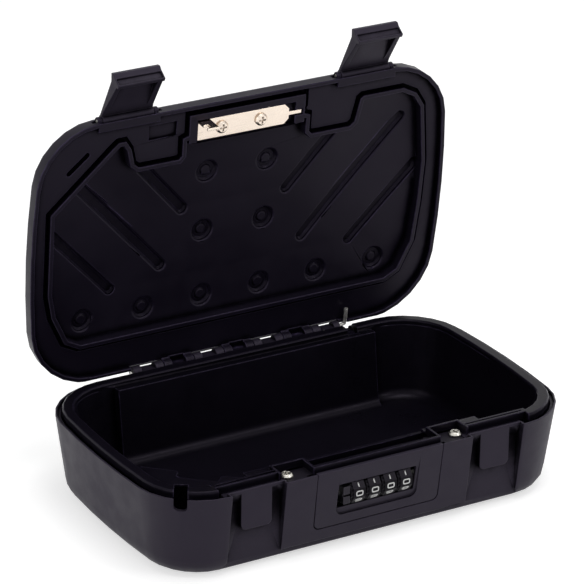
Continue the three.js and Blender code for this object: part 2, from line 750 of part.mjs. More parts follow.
function lockPanel() {
  const skin = tub(0, 0, baseRound, baseHeight)
    .subtract(tub(shellWall, shellFloor, baseRound - shellWall, farAway / 2));
  let body = skin.intersect(prism(panelShape(-fitGap, farAway / 2), 'y', -farAway, 0));
  const behind = tub(shellWall + panelFit, shellFloor, baseRound - shellWall, baseHeight)
    .subtract(tub(shellWall + panelFit + panelFlange, shellFloor, baseRound - shellWall, farAway / 2));
  const caseRoom = box(-caseHalf - fitGap, caseHalf + fitGap, -farAway, 0, caseBottom + caseWall * 2,
    farAway);
  const flange = behind.intersect(prism(panelShape(panelFlangeLap, farAway / 2), 'y', -farAway, 0))
    .intersect(box(-farAway, farAway, -farAway, 0, panelBottom - panelFlangeLap,
      baseHeight - panelFlangeDrop));
  const link = tub(shellWall / 2, 0, baseRound, baseHeight - panelFlangeDrop)
    .subtract(tub(shellWall + panelFlange, 0, baseRound, farAway / 2))
    .intersect(prism(panelShape(-fitGap, farAway / 2), 'y', -farAway, 0));
  body = body.add(flange.add(link).subtract(caseRoom));
  const wedge = [[frontY(scoopTop, 0), scoopTop], [frontY(scoopBottom, scoopDeep), scoopBottom],
    [-farAway, scoopBottom], [-farAway, scoopTop]];
  const scoop = prism(cupShape(scoopLeft, scoopRight, scoopBottom, scoopTop, scoopCorner), 'y', -farAway, 0)
    .intersect(prism(wedge, 'x', -panelTopHalf, panelTopHalf));
  const wheelRoom = rod('x', wheelRadius + fitGap, wheelY, wheelZ, windowLeft, windowRight);
  const springRoom = rod('x', springRadius + rimEdge, wheelY, wheelZ, cheekLeft - fitGap,
    windowLeft + fitGap);
  return body.subtract(scoop).subtract(panelWindow()).subtract(wheelRoom).subtract(springRoom);
}

function lockCase() {
  const inFront = tub(caseFrontInset, shellFloor, baseRound - shellWall, baseHeight);
  const top = baseHeight - caseDrop;
  let body = box(-caseHalf, caseHalf, -farAway, caseBack, caseBottom, top).intersect(inFront);
  const room = box(-caseHalf + caseWall, caseHalf - caseWall, -farAway, caseBack - caseWall,
    caseBottom + caseWall, top - caseLid);
  body = body.subtract(room);
  const cheek = box(cheekLeft, cheekLeft + cheekThick, slideBack - wheelRadius, caseBack, caseBottom,
    boltLow - leafSlot)
    .intersect(inFront);
  const farCheekLeft = wheelsRight + wheelPitch / 2 - wheelWide / 2 + fitGap;
  const farCheek = box(farCheekLeft, farCheekLeft + cheekThick, slideBack - wheelRadius, caseBack,
    caseBottom, boltLow)
    .intersect(inFront);
  body = body.add(cheek).add(farCheek);
  const earTop = baseHeight - earDrop;
  const earRoom = loft([[earFront, 0], [earFront, farAway]]);
  const wallFree = -halfDepth + recessDeep + shellWall + fitGap;
  const ears = joined(bothSides((side) => {
    const inner = side * (caseHalf - caseWall);
    const middle = side * (recessMiddle - recessWide / 2 - shellWall - fitGap);
    const outer = side * earOuter;
    return box(Math.min(inner, middle), Math.max(inner, middle), -farAway, earBack, earTop - earThick,
      earTop)
      .add(box(Math.min(inner, outer), Math.max(inner, outer), wallFree, earBack, earTop - earThick,
        earTop))
      .intersect(earRoom);
  }));
  body = body.add(ears.subtract(box(-panelTopHalf - panelFlangeLap, panelTopHalf + panelFlangeLap, -farAway,
    -halfDepth + caseFrontInset + rimEdge, 0, farAway)));
  body = body.subtract(joined(bothSides((side) => rod('z', screwShank + screwFit, side * screwX, screwY,
    0, farAway, 12))));
  const axleRoom = rod('x', axleRadius + sleeveFit, wheelY, wheelZ, -farAway, farAway, 12);
  const tabRoom = box(boltLeft - slideTravel - fitGap, tabRight + rimEdge, -farAway,
    plateFront + plateThick + slideTravel * 2, boltLow - fitGap, farAway);
  const insideCase = box(-caseHalf + caseWall, caseHalf, -farAway, caseBack - caseWall, 0, farAway);
  return body.subtract(axleRoom).subtract(tabRoom.intersect(insideCase));
}

function wheel() {
  const half = wheelWide / 2;
  let body = rod('x', wheelRadius, 0, 0, -half, half, wheelSides);
  const shape = new THREE.Shape();
  for (let i = 0; i < gripTeeth * 2; i += 1) {
    const turn = Math.PI * i / gripTeeth;
    const radius = i % 2 ? gripRadius : gripRadius - gripDepth;
    shape[i ? 'lineTo' : 'moveTo'](radius * Math.cos(turn), radius * Math.sin(turn));
  }
  body = body.add(prism(shape, 'x', -half - gripWide, -half));
  return body.subtract(rod('x', sleeveRadius + sleeveFit, 0, 0, -farAway, farAway, 16));
}

// The gate is a slot across the sleeve's right end
function sleeve() {
  const half = wheelWide / 2;
  const body = rod('x', sleeveRadius, 0, 0, -half - gripWide, half, 16)
    .subtract(rod('x', sleeveBore, 0, 0, -farAway, farAway, 12));
  const gateHigh = finHigh + sleeveFit * 2;
  return body.subtract(box(half - slideTravel - fitGap, farAway, -gateWide / 2, gateWide / 2, -gateHigh,
    gateHigh));
}

// The axle slides with the release: each of its fins enters a sleeve only where the gates stand in line
function dialAxle() {
  const half = wheelWide / 2;
  const gap = wheelPitch - wheelWide - gripWide;
  const fins = [...Array(wheelCount).keys()].map((i) => {
    const x = wheelFirst + i * wheelPitch + half + gap / 2;
    return box(x - finThick / 2, x + finThick / 2, wheelY - finWide / 2, wheelY + finWide / 2,
      wheelZ + finSink, wheelZ + finHigh);
  });
  return joined([rod('x', axleRadius, wheelY, wheelZ, slideTravel - caseHalf, caseHalf, 12), ...fins]);
}

function releaseSlide() {
  let body = box(slideLeft, slideLeft + slideWide, slideFront, slideBack, slideBottom, slideTop);
  body = body.subtract(box(-farAway, farAway, -farAway, slideFront + slideGroove, wheelZ - slideGroove / 2,
    wheelZ + slideGroove / 2));
  return body.subtract(rod('x', axleRadius + sleeveFit, wheelY, wheelZ, -farAway, farAway, 12));
}

function latchBolt() {
  const plateY = plateFront + plateThick + fitGap * 2;
  const right = slideLeft + slideWide;
  const bar = box(boltLeft, right, plateY, plateY + boltThick, boltLow, boltBarTop);
  const post = box(boltLeft, boltNoseRight - slideTravel, plateY, plateY + boltThick, boltLow, boltTop);
  const foot = box(slideLeft, right, slideBack + fitGap, plateY + boltThick, boltBottom, boltLow);
  const ramp = [[boltLeft, boltNoseBottom], [boltNoseRight, boltNoseBottom],
    [boltNoseRight - slideTravel, boltTop], [boltLeft, boltTop]];
  const nose = prism(ramp, 'y', plateFront - fitGap, plateY + boltThick);
  return joined([bar, post, foot, nose]);
}

function coil(radius, wire, turns, long) {
  class Helix extends THREE.Curve {
    getPoint(t, target = new THREE.Vector3()) {
      const turn = t * turns * 2 * Math.PI;
      return target.set(t * long, radius * Math.cos(turn), radius * Math.sin(turn));
    }
  }
  const section = new THREE.Shape();
  section.absarc(0, 0, wire, 0, 2 * Math.PI);
  return new THREE.ExtrudeGeometry(section,
    { steps: turns * 12, extrudePath: new Helix(), curveSegments: 3 });
}

function leafSpring() {
  const back = caseBack - caseWall - fitGap;
  const first = wheelFirst - wheelPitch / 2;
  const last = first + wheelPitch * wheelCount;
  let body = box(first, last, back - leafThick, back, leafBottom, leafTop);
  for (let i = 1; i < wheelCount; i += 1) {
    const middle = first + wheelPitch * i;
    body = body.subtract(box(middle - leafSlot / 2, middle + leafSlot / 2, -farAway, farAway,
      leafBottom + leafSlot * 2, farAway));
  }
  return body;
}

// Lid, in its closed place

// A place in the lid from its shares of half the length and half the depth
function inLid([x, y]) {
  return [halfLength * x, halfDepth * y];
}

function fenceLine() {
  const front = strikeBlockFrontIn - halfDepth;
  const jog = strikeBlockHalf + fenceJog;
  const depthAt = (share) => safeDepth * share - halfDepth;
  const [wall, step, bevel, back] = fenceBlockShares.map(depthAt);
  const byBlock = (side) => [[side * strikeBlockHalf, front], [side * strikeBlockHalf, wall],
    [side * jog, step], [side * jog, bevel], [side * (jog + fenceBevel), back]];
  const byRecess = (side, shares) => shares.map(([x, y]) => [side * (recessMiddle + recessWide * x),
    depthAt(y)]);
  return [...byBlock(1), ...byRecess(1, fenceRecessRightShares), ...fenceRightShares.map(inLid),
    ...fenceLeftShares.map(inLid), ...byRecess(-1, fenceRecessLeftShares), ...byBlock(-1).reverse()];
}

// The fence line moved sideways: each corner goes along the mean of its two edges' normals
function shifted(points, out) {
  return points.map(([x, y], i) => {
    const [px, py] = points[(i + points.length - 1) % points.length];
    const [nx, ny] = points[(i + 1) % points.length];
    const before = new THREE.Vector2(y - py, px - x).normalize();
    const after = new THREE.Vector2(ny - y, x - nx).normalize();
    const mean = before.clone().add(after).normalize();
    const far = out / mean.dot(after);
    return [x + mean.x * far, y + mean.y * far];
  });
}

function lidShell() {
  const outer = lidForm(0, lidBottom);
  const line = fenceLine();
  const under = lidBottom - fitGap;
  let shelf = loft([[lidRim, under], [lidRim, lidBottom + shelfDeep]]);
  const latchRim = joined(bothSides((side) => box(side * recessMiddle - recessWide / 2 - lugWide,
    side * recessMiddle + recessWide / 2 + lugWide, -farAway, -halfDepth + latchZoneRim, 0, farAway)));
  shelf = shelf.subtract(latchRim);
  const markTop = lidBottom + shelfDeep + shelfSlotDeep;
  const stepRight = -strikeBlockHalf - stepGap;
  const slot = prism(slotShape(...slotShares.map(inLid), shelfSlotHalf), 'z', under, markTop);
  const slit = prism(slotShape(...slitShares.map(inLid), shelfSlitHalf), 'z', under, markTop);
  const step = box(stepRight - stepLong, stepRight, stepFrontIn - halfDepth, stepBackIn - halfDepth,
    under, markTop);
  shelf = joined([shelf, slot, slit, step]);
  const groove = prism(shifted(line, fenceGroove), 'z', under, lidBottom + fenceGrooveDeep)
    .intersect(loft([[lidRim, under], [lidRim, lidBottom + fenceGrooveDeep]]));
  const fence = prism(line, 'z', lidBottom + fenceTop, lidBottom + fenceGrooveDeep + fitGap);
  const inner = shifted(line, -fenceWall);
  const room = prism(inner, 'z', under, farAway / 2).intersect(lidForm(lidSkin, under));
  const marks = [];
  const low = lidBottom + fenceTop;
  for (const side of [-1, 1]) {
    for (const [row, columns] of dimpleShares) {
      for (const column of columns) {
        const [x, y] = inLid([side * column, row]);
        marks.push((out) => rod('z', dimpleRadius + out, x, y, low, farAway / 2, 18));
      }
    }
    for (const ends of grooveShares) {
      const [from, to] = ends.map(([x, y]) => inLid([side * x, y]));
      marks.push((out) => prism(slotShape(from, to, grooveHalf + out), 'z', low, farAway / 2));
    }
  }
  const sunk = joined(marks.map((mark) => mark(0))).intersect(prism(inner, 'z', under, farAway / 2))
    .intersect(lidForm(lidSkin, under, reliefDeep));
  const raised = joined(marks.map((mark) => mark(lidSkin / 2)))
    .intersect(lidForm(0, lidBottom, reliefDeep));
  let body = outer.add(raised).subtract(shelf).subtract(groove).add(fence.intersect(outer)).subtract(room)
    .subtract(sunk);
  const block = box(-strikeBlockHalf, strikeBlockHalf, strikeBlockFrontIn - halfDepth,
    strikeBlockBackIn - halfDepth, low, farAway / 2).intersect(outer);
  body = body.add(block);
  const plateTop = lidBottom + plateFace + plateThick;
  const plateRoom = box(plateLeft - plateFit, plateRight + plateChamfer + plateFit, plateFront - plateFit,
    plateBack + plateFit, under, plateTop);
  const tongueRoom = box(plateRight, tongueRight + plateFit, plateMiddle - tongueHalf - plateFit,
    plateMiddle + tongueHalf + plateFit, under, plateTop);
  body = body.subtract(plateRoom).subtract(tongueRoom);
  for (const x of plateScrews) {
    body = body.subtract(rod('z', screwShank + screwFit, x, plateMiddle, under,
      lidBottom + lidWallHigh + lidRound / 2, 12));
  }
  const knuckles = joined(knuckleNumbers(false).map((number) => {
    const [from, to] = knuckleRange(number);
    const footY = halfDepth - lipFrom + fitGap;
    const foot = [[footY, hingeZ + rimEdge], [hingeY + knuckleRadius, hingeZ],
      [hingeY - knuckleRadius / 2, hingeZ + knuckleRadius * 2], [footY, hingeZ + knuckleRadius * 2]];
    return rod('x', knuckleRadius, hingeY, hingeZ, from + fitGap / 2, to - fitGap / 2)
      .add(prism(foot, 'x', from + fitGap / 2, to - fitGap / 2));
  }));
  const slots = joined(knuckleNumbers(false).map((number) => {
    const middle = knuckleRange(number)[0] + knucklePitch / 2;
    return box(middle - knuckleSlotLong / 2, middle + knuckleSlotLong / 2, hingeY - knuckleRadius - pinBore,
      hingeY - pinBore, hingeZ - knuckleRadius, hingeZ + knuckleSlotHigh);
  }));
  body = body.add(knuckles).subtract(knuckleRoom(true)).subtract(slots);
  body = body.subtract(rod('x', pinBore, hingeY, hingeZ, -farAway, farAway, 12));
  const lugEdge = latchRootHalf + fitGap;
  const lugs = joined(bothSides((side) => joined(bothSides((end) => {
    const near = side * recessMiddle + end * lugEdge;
    const far = near + end * lugWide;
    return rod('x', lugRadius, latchAxisY, latchAxisZ, Math.min(near, far), Math.max(near, far), 16);
  }))));
  const pockets = joined(bothSides((side) => rod('x', latchPocket, latchAxisY, latchAxisZ,
    side * recessMiddle - lugEdge, side * recessMiddle + lugEdge, 16)));
  const bores = rod('x', latchPinBore, latchAxisY, latchAxisZ, -recessMiddle - lugEdge - lugWide * 2,
    recessMiddle + lugEdge + lugWide * 2, 12).subtract(box(-recessMiddle + lugEdge + lugWide * 2,
    recessMiddle - lugEdge - lugWide * 2, -farAway, farAway, 0, farAway));
  return body.add(lugs).subtract(pockets).subtract(bores).subtract(pinTailSlot(hingeZ + pinTailRoom));
}

function strikePlate() {
  const outline = [[plateLeft, plateFront], [plateRight - plateChamfer, plateFront],
    [plateRight, plateFront + plateChamfer], [plateRight, plateMiddle - tongueHalf],
    [tongueRight, plateMiddle - tongueHalf], [tongueRight, plateMiddle + tongueHalf],
    [plateRight, plateMiddle + tongueHalf], [plateRight, plateBack - plateChamfer],
    [plateRight - plateChamfer, plateBack], [plateLeft, plateBack]];
  const face = lidBottom + plateFace;
  let body = prism(outline, 'z', face, face + plateThick);
  const tab = box(plateLeft, tabRight, plateFront, plateFront + plateThick, face - tabReach,
    face + plateThick);
  const notch = box(-farAway, plateLeft + tabNotchDeep, -farAway, farAway, lidBottom - tabNotchLow,
    lidBottom - tabNotchHigh);
  body = body.add(tab.subtract(notch));
  for (const x of plateScrews) {
    body = body.subtract(rod('z', screwShank + screwFit, x, plateMiddle, 0, farAway, 12));
  }
  return body;
}

function hingePin() {
  const from = knuckleFrom - fitGap;
  const turnX = knuckleRange(knuckleCount - 1)[1] + fitGap + pinBend;
  const path = new THREE.CurvePath();
  path.add(new THREE.LineCurve3(new THREE.Vector3(from, 0, 0), new THREE.Vector3(turnX - pinBend, 0, 0)));
  path.add(new THREE.QuadraticBezierCurve3(new THREE.Vector3(turnX - pinBend, 0, 0),
    new THREE.Vector3(turnX, 0, 0), new THREE.Vector3(turnX, -pinBend, 0)));
  path.add(new THREE.LineCurve3(new THREE.Vector3(turnX, -pinBend, 0),
    new THREE.Vector3(turnX, -pinTail, 0)));
  const section = new THREE.Shape();
  section.absarc(0, 0, pinRadius, 0, 2 * Math.PI);
  return new THREE.ExtrudeGeometry(section, { steps: 30, extrudePath: path, curveSegments: 4 });
}

// Latch, hanging closed from its pin at the origin
function latch() {
  const inner = -latchWebInner;
  const outer = inner - latchWebThick;
  const side = [[outer, 0], [outer, -latchTipAt + latchHookThick * 2], [outer - latchTipFlare, -latchTipAt],
    [inner - latchTipFlare, -latchTipAt - latchHookThick / 2], [inner, -latchTipAt],
    [latchHookReach, -latchHookAt - latchHookThick], [latchHookReach, -latchHookAt],
    [inner, -latchHookAt + latchHookThick / 2], [inner, 0]];
  let body = prism(side, 'x', -latchRootHalf, latchRootHalf)
    .add(rod('x', latchBarrel, 0, 0, -latchRootHalf, latchRootHalf, 16));
  const rib = [[inner, -latchRibFrom], [latchRibHigh, -latchRibFrom - latchRibHigh * 2],
    [latchRibHigh, -latchHookAt], [inner, -latchHookAt]];
  body = body.add(joined(bothSides((end) => {
    const edge = end * latchRootHalf;
    return prism(rib, 'x', Math.min(edge, edge - end * latchRibThick * 2),
      Math.max(edge, edge - end * latchRibThick * 2));
  })));
  const trim = [[-latchRootHalf, latchBarrel * 2], [-latchRootHalf, -latchBarrel],
    [-latchEndHalf, -latchHookAt],
    [-latchEndHalf, -latchTipAt * 2], [latchEndHalf, -latchTipAt * 2], [latchEndHalf, -latchHookAt],
    [latchRootHalf, -latchBarrel], [latchRootHalf, latchBarrel * 2]];
  body = body.intersect(prism(trim, 'y', -farAway, farAway));
  return body.subtract(rod('x', latchPinBore, 0, 0, -farAway, farAway, 12));
}

// Scene graph

const blackShell = () => new THREE.MeshStandardMaterial({ color: 0x222124, roughness: 0.5, metalness: 0 });
const blackPanel = () => new THREE.MeshStandardMaterial({ color: 0x1d1c20, roughness: 0.45, metalness: 0 });
const blackInside = () => new THREE.MeshStandardMaterial({ color: 0x161519, roughness: 0.6, metalness: 0 });
const blackWheel = () => new THREE.MeshStandardMaterial({ color: 0x2c2c2e, roughness: 0.4, metalness: 0 });
const nickel = () => new THREE.MeshStandardMaterial({ color: 0xd8d0c4, roughness: 0.25, metalness: 1 });
const steel = () => new THREE.MeshStandardMaterial({ color: 0xa8a8a8, roughness: 0.35, metalness: 1 });
const brass = () => new THREE.MeshStandardMaterial({ color: 0xb99b56, roughness: 0.35, metalness: 1 });

const safe = new THREE.Group();
const lidGroup = new THREE.Group();
lidGroup.position.set(0, hingeY, hingeZ);
lidGroup.rotation.x = -lidOpen;
safe.add(lidGroup);

function place(name, shape, material, parent = safe, origin = [0, 0, 0]) {
  const geometry = shape instanceof THREE.BufferGeometry ? shape : geometryOf(shape);
  const mesh = new THREE.Mesh(geometry, material);
  mesh.name = name;
  mesh.position.set(...origin);
  parent.add(mesh);
  return mesh;
}

function placeOnLid(name, shape, material) {
  return place(name, shape, material, lidGroup, [0, -hingeY, -hingeZ]);
}

function sideName(side) {
  return side < 0 ? 'left' : 'right';
}

place('base_shell', baseShell(), blackShell());
place('base_liner', baseLiner(), blackInside());
place('lock_panel', lockPanel(), blackPanel());
place('lock_case', lockCase(), blackInside());
place('dial_axle', dialAxle(), steel());
place('dial_spring', leafSpring(), steel());
place('release_slide', releaseSlide(), blackWheel());
place('latch_bolt', latchBolt(), steel());
const springFrom = cheekLeft + cheekThick + springWire + leafGap;
const springLong = slideLeft - springWire - leafGap - springFrom;
place('slide_spring', coil(springRadius, springWire, springTurns, springLong), steel(), safe,
  [springFrom, wheelY, wheelZ]);
for (let i = 0; i < wheelCount; i += 1) {
  const origin = [wheelFirst + i * wheelPitch, wheelY, wheelZ];
  place(`dial_${i + 1}`, wheel(), blackWheel(), safe, origin);
  place(`sleeve_${i + 1}`, sleeve(), brass(), safe, origin);
}
for (const side of [-1, 1]) {
  place(`case_screw_${sideName(side)}`, screwSolid(screwLong - screwShank), steel(), safe,
    [side * screwX, screwY, baseHeight - earDrop + screwHeadHigh + screwFit / 2]);
}

placeOnLid('lid_shell', lidShell(), blackShell());
placeOnLid('strike_plate', strikePlate(), nickel());
plateScrews.forEach((x, i) => {
  const screw = screwSolid(plateScrewLong);
  const origin = [x, plateMiddle - hingeY, lidBottom + plateFace - screwHeadHigh - fitGap / 3 - hingeZ];
  place(`strike_screw_${sideName(i - 0.5)}`, screw.rotate([180, 0, 0]), nickel(), lidGroup, origin);
});
place('hinge_pin', hingePin(), steel(), lidGroup);
for (const side of [-1, 1]) {
  const latchGroup = new THREE.Group();
  latchGroup.position.set(side * recessMiddle, latchAxisY - hingeY, latchAxisZ - hingeZ);
  latchGroup.rotation.x = -latchOpen;
  lidGroup.add(latchGroup);
  place(`latch_${sideName(side)}`, latch(), blackShell(), latchGroup);
  const pinHalf = latchRootHalf + fitGap + lugWide;
  place(`latch_pin_${sideName(side)}`, rod('x', latchPinRadius, 0, 0, -pinHalf, pinHalf, 10), steel(),
    latchGroup);
}

export default safe;
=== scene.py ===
"""Portable car safe: the finish of each piece, and a plain studio round it.

Metres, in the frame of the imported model: X along the length, Y to the hinge, Z up.
"""

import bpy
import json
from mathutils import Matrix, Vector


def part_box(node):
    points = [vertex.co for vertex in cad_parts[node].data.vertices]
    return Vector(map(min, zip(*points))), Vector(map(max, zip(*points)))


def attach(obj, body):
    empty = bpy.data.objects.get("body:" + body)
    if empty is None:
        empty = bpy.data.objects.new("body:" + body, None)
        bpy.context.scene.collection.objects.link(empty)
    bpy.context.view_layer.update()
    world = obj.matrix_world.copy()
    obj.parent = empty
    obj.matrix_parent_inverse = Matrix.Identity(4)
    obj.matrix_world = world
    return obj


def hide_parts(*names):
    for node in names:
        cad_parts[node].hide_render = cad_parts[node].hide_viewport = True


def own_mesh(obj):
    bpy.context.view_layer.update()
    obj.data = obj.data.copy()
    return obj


bl_info = {
    "name": "Portable car safe",
    "version": (1, 0, 0),
    "blender": (4, 5, 0),
    "location": "3D View > Sidebar > Car safe",
    "description": "Finishes the pieces of a portable car safe and sets it in a plain studio",
    "category": "Object",
}

import json
import math

import bmesh
import bpy
from mathutils import Matrix, Vector

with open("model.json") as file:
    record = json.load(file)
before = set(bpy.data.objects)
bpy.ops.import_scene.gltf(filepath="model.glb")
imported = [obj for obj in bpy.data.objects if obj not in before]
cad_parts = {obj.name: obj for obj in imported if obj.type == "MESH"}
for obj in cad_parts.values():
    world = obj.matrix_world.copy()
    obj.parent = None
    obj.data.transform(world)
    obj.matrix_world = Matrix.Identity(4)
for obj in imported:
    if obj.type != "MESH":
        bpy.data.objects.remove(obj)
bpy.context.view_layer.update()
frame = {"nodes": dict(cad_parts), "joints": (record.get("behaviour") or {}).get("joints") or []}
MM = 0.001
PICTURE_SIDE = 584
SIDES = ("left", "right")
WHEELS = range(1, 5)
DIGITS = range(10)
DIMPLES = 10

# Turns between two faces, in degrees: flat, rounded, rounded on a pin, and round the mouth of a dimple
FLAT = 0.1
SHARP = 28.0
PIN_SHARP = 50.0
MOUTH_SHARP = 35.0

# Points nearer than these are merged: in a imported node, in a painted number and between rounded edges
PACKED_DOUBLES = 0.003 * MM
PAINTED_DOUBLES = 0.001 * MM
ROUNDED_DOUBLES = 0.002 * MM

# Edges and faces thinner than this are dropped
SLIVER = 0.01 * MM

# Parts of a unit normal along an axis: hardly any of it, most of it, and all of it
HARDLY = 0.1
MOSTLY = 0.9
WHOLLY = 0.999

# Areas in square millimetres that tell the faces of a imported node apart
RECESS_FLOOR = (400, 700)
SHELF_SLIT = (20, 40)
ROOF_MARK = (40, 400)
DIMPLE_MOST = 100
LATCH_TIP = (100, 115)
NUMBER_FACE_LEAST = 12


# Sizes and colours that a user would change


def length(name, description, millimetres):
    return bpy.props.FloatProperty(
        name=name,
        description=description,
        default=millimetres * MM,
        min=0.0,
        unit="LENGTH",
        precision=5,
    )


def share(name, description, value, top=1.0):
    return bpy.props.FloatProperty(
        name=name, description=description, default=value, min=0.0, max=top, subtype="FACTOR"
    )


def colour(name, description, red, green, blue):
    return bpy.props.FloatVectorProperty(
        name=name,
        description=description,
        default=(red, green, blue),
        min=0.0,
        max=1.0,
        size=3,
        subtype="COLOR",
    )


def angle(name, description, degrees):
    return bpy.props.FloatProperty(
        name=name, description=description, default=math.radians(degrees), unit="ROTATION"
    )


def power(name, description, watts):
    return bpy.props.FloatProperty(
        name=name, description=description, default=watts, min=0.0, unit="POWER"
    )


class MouldingSettings(bpy.types.PropertyGroup):
    """Sizes and colours of the black plastic mouldings."""

    shell_edge: length("Shell edge", "Radius on the edges of the tub and the lid", 0.35)
    liner_edge: length("Liner edge", "Radius on the edges of the liner and its raised lip", 0.25)
    panel_edge: length("Panel edge", "Radius on the edges of the lock panel and its window", 0.38)
    latch_edge: length("Latch edge", "Radius on the edges of the two latches", 0.3)
    latch_channel: length("Latch channel", "Depth of the channel across a latch's tip", 0.9)
    recess_deeper: length(
        "Recess depth", "How far the floors of the latch recesses go past the packed tub's", 1.2
    )
    dimple_deeper: length("Dimple depth", "How far the dimples go past the packed lid's", 0.8)
    roof_height: length(
        "Roof height", "Height in the shut safe above which the lid's dimples and grooves lie", 47
    )
    dimple_round: length("Dimple round", "Radius on the mouths of the dimples and grooves", 0.9)
    dimple_slope: length(
        "Dimple slope", "Width of the slope from a dimple's or groove's wall to its floor", 0.9
    )
    button_rim: length("Dimple rim", "Flat ring round the button in a dimple", 1.5)
    button_rise: length("Button rise", "Height of the button in a dimple", 0.7)
    tab_round: length("Tab round", "Radius on the liner's stepped corners", 1.8)
    shell_colour: colour("Shell colour", "Outside of the tub, and the latches", 0.0165, 0.0135, 0.0225)
    lid_colour: colour("Lid colour", "Both sides of the lid", 0.0065, 0.005, 0.0105)
    # The liner colour is darker than the shell's, as painted shade for the deep inside of the tub
    liner_colour: colour("Liner colour", "Inner tub with the raised lip", 0.0034, 0.0027, 0.0054)
    panel_colour: colour("Panel colour", "Lock panel in the front wall", 0.0175, 0.0145, 0.0235)
    grain_size: length("Grain size", "Size of the fine texture that the mould leaves", 0.35)
    grain_depth: length("Grain depth", "Depth of that texture", 0.012)
    roughness: share("Roughness", "How matte the plastic is", 0.5)
    gloss_tint: colour("Gloss tint", "Tint of the light that the plastic mirrors", 0.88, 0.78, 1.0)
    # Painted shade in corners: how far from a wall it reaches, and how much colour it leaves
    shade_reach: length("Shade reach", "How near a wall stands where it makes a corner darker", 5)
    shade_least: share("Shade least", "What is left of the colour deep in a corner", 0.1)


class WheelSettings(bpy.types.PropertyGroup):
    """Sizes and colours of the number wheels."""

    edge: length("Wheel edge", "Radius on the edges of a wheel's faces", 0.12)
    pad_inset: length("Pad inset", "Rim left round the raised pad of each face", 0.25)
    pad_rise: length("Pad rise", "Height of the raised pad", 0.08)
    digit_high: length("Digit height", "Height of a painted number, over its strokes", 2.6)
    digit_wide: length("Digit width", "Width of a painted number, over its strokes", 3.7)
    stroke: length("Stroke", "Width of the painted strokes", 0.62)
    paint_rise: length("Paint thickness", "How far the paint stands off its face", 0.02)
    wheel_colour: colour("Wheel colour", "Plastic of the wheels and the slide", 0.0045, 0.0042, 0.005)
    paint_colour: colour("Paint colour", "Painted numbers", 0.86, 0.86, 0.85)


class MetalSettings(bpy.types.PropertyGroup):
    """Colours of the metal pieces."""

    plate_edge: length("Plate edge", "Radius on the edges of the strike plate", 0.16)
    nickel_colour: colour("Nickel colour", "Strike plate and its screws", 0.82, 0.71, 0.61)
    steel_colour: colour("Steel colour", "Pins, springs, bolt and axle", 0.55, 0.54, 0.52)
    zinc_colour: colour("Zinc colour", "Screws of the lock case", 0.6, 0.58, 0.53)
    brass_colour: colour("Brass colour", "Sleeves inside the wheels", 0.62, 0.46, 0.2)


class StudioSettings(bpy.types.PropertyGroup):
    """Camera and light of the studio."""

    azimuth: angle("Azimuth", "Side that the camera looks from, 0 in front", -30.596)
    elevation: angle("Elevation", "Height of the camera above the horizon", 23.526)
    roll: angle("Roll", "Turn of the camera round its line of sight", 0.82)
    distance: length("Distance", "From the camera to the point that it looks at", 1594.2)
    target: bpy.props.FloatVectorProperty(
        name="Target",
        description="Point that the camera looks at",
        default=(-0.005909, 0.003761, 0.09372),
        size=3,
        subtype="TRANSLATION",
        unit="LENGTH",
    )
    lens_pixels: bpy.props.FloatProperty(
        name="Lens", description="Focal length in pixels of the square picture", default=3624.7, min=1.0
    )
    world_level: share("World level", "Light that comes from all round", 0.35, 4.0)
    side_level: power("Side lamps", "Power of the left soft box, and nearly that of the right one", 1.0)
    front_level: power("Front lamp", "Power of the soft box in front", 1.2)
    top_level: power("Top lamp", "Power of the soft box overhead", 3.2)


# Materials


def new_group(name, inputs, outputs):
    """A shader node group with named float, vector or colour sockets."""
    group = bpy.data.node_groups.new(name, "ShaderNodeTree")
    kinds = {"value": "NodeSocketFloat", "vector": "NodeSocketVector", "colour": "NodeSocketColor"}
    for label, kind in inputs:
        group.interface.new_socket(label, in_out="INPUT", socket_type=kinds[kind])
    for label, kind in outputs:
        group.interface.new_socket(label, in_out="OUTPUT", socket_type=kinds[kind])
    return group, group.nodes.new("NodeGroupInput"), group.nodes.new("NodeGroupOutput")


def feed(tree, socket, value):
    """Links a socket to another one, or sets it to a plain number."""
    if isinstance(value, bpy.types.NodeSocket):
        tree.links.new(value, socket)
    else:
        socket.default_value = value


def math_node(tree, operation, *values, clamp=False):
    """The output of a maths node fed by sockets or plain numbers."""
    node = tree.nodes.new("ShaderNodeMath")
    node.operation = operation
    node.use_clamp = clamp
    for socket, value in zip(node.inputs, values):
        feed(tree, socket, value)
    return node.outputs[0]


def map_range(tree, value, low, high, to_low, to_high):
    """A value between two limits brought between two others."""
    node = tree.nodes.new("ShaderNodeMapRange")
    node.clamp = True
    tree.links.new(value, node.inputs["Value"])
    feed(tree, node.inputs["From Min"], low)
    feed(tree, node.inputs["From Max"], high)
    feed(tree, node.inputs["To Min"], to_low)
    feed(tree, node.inputs["To Max"], to_high)
    return node.outputs["Result"]


def noise(tree, position, scale, detail=2.0, roughness=0.5):
    """Noise with a scale per metre."""
    node = tree.nodes.new("ShaderNodeTexNoise")
    tree.links.new(position, node.inputs["Vector"])
    feed(tree, node.inputs["Scale"], scale)
    node.inputs["Detail"].default_value = detail
    node.inputs["Roughness"].default_value = roughness
    return node.outputs["Fac"]


def wander(tree, value, middle, swing, spread=0.2):
    """A noise, which mostly lies near a half, brought to a swing on each side of a middle."""
    return map_range(tree, value, 0.5 - spread, 0.5 + spread, middle - swing, middle + swing)


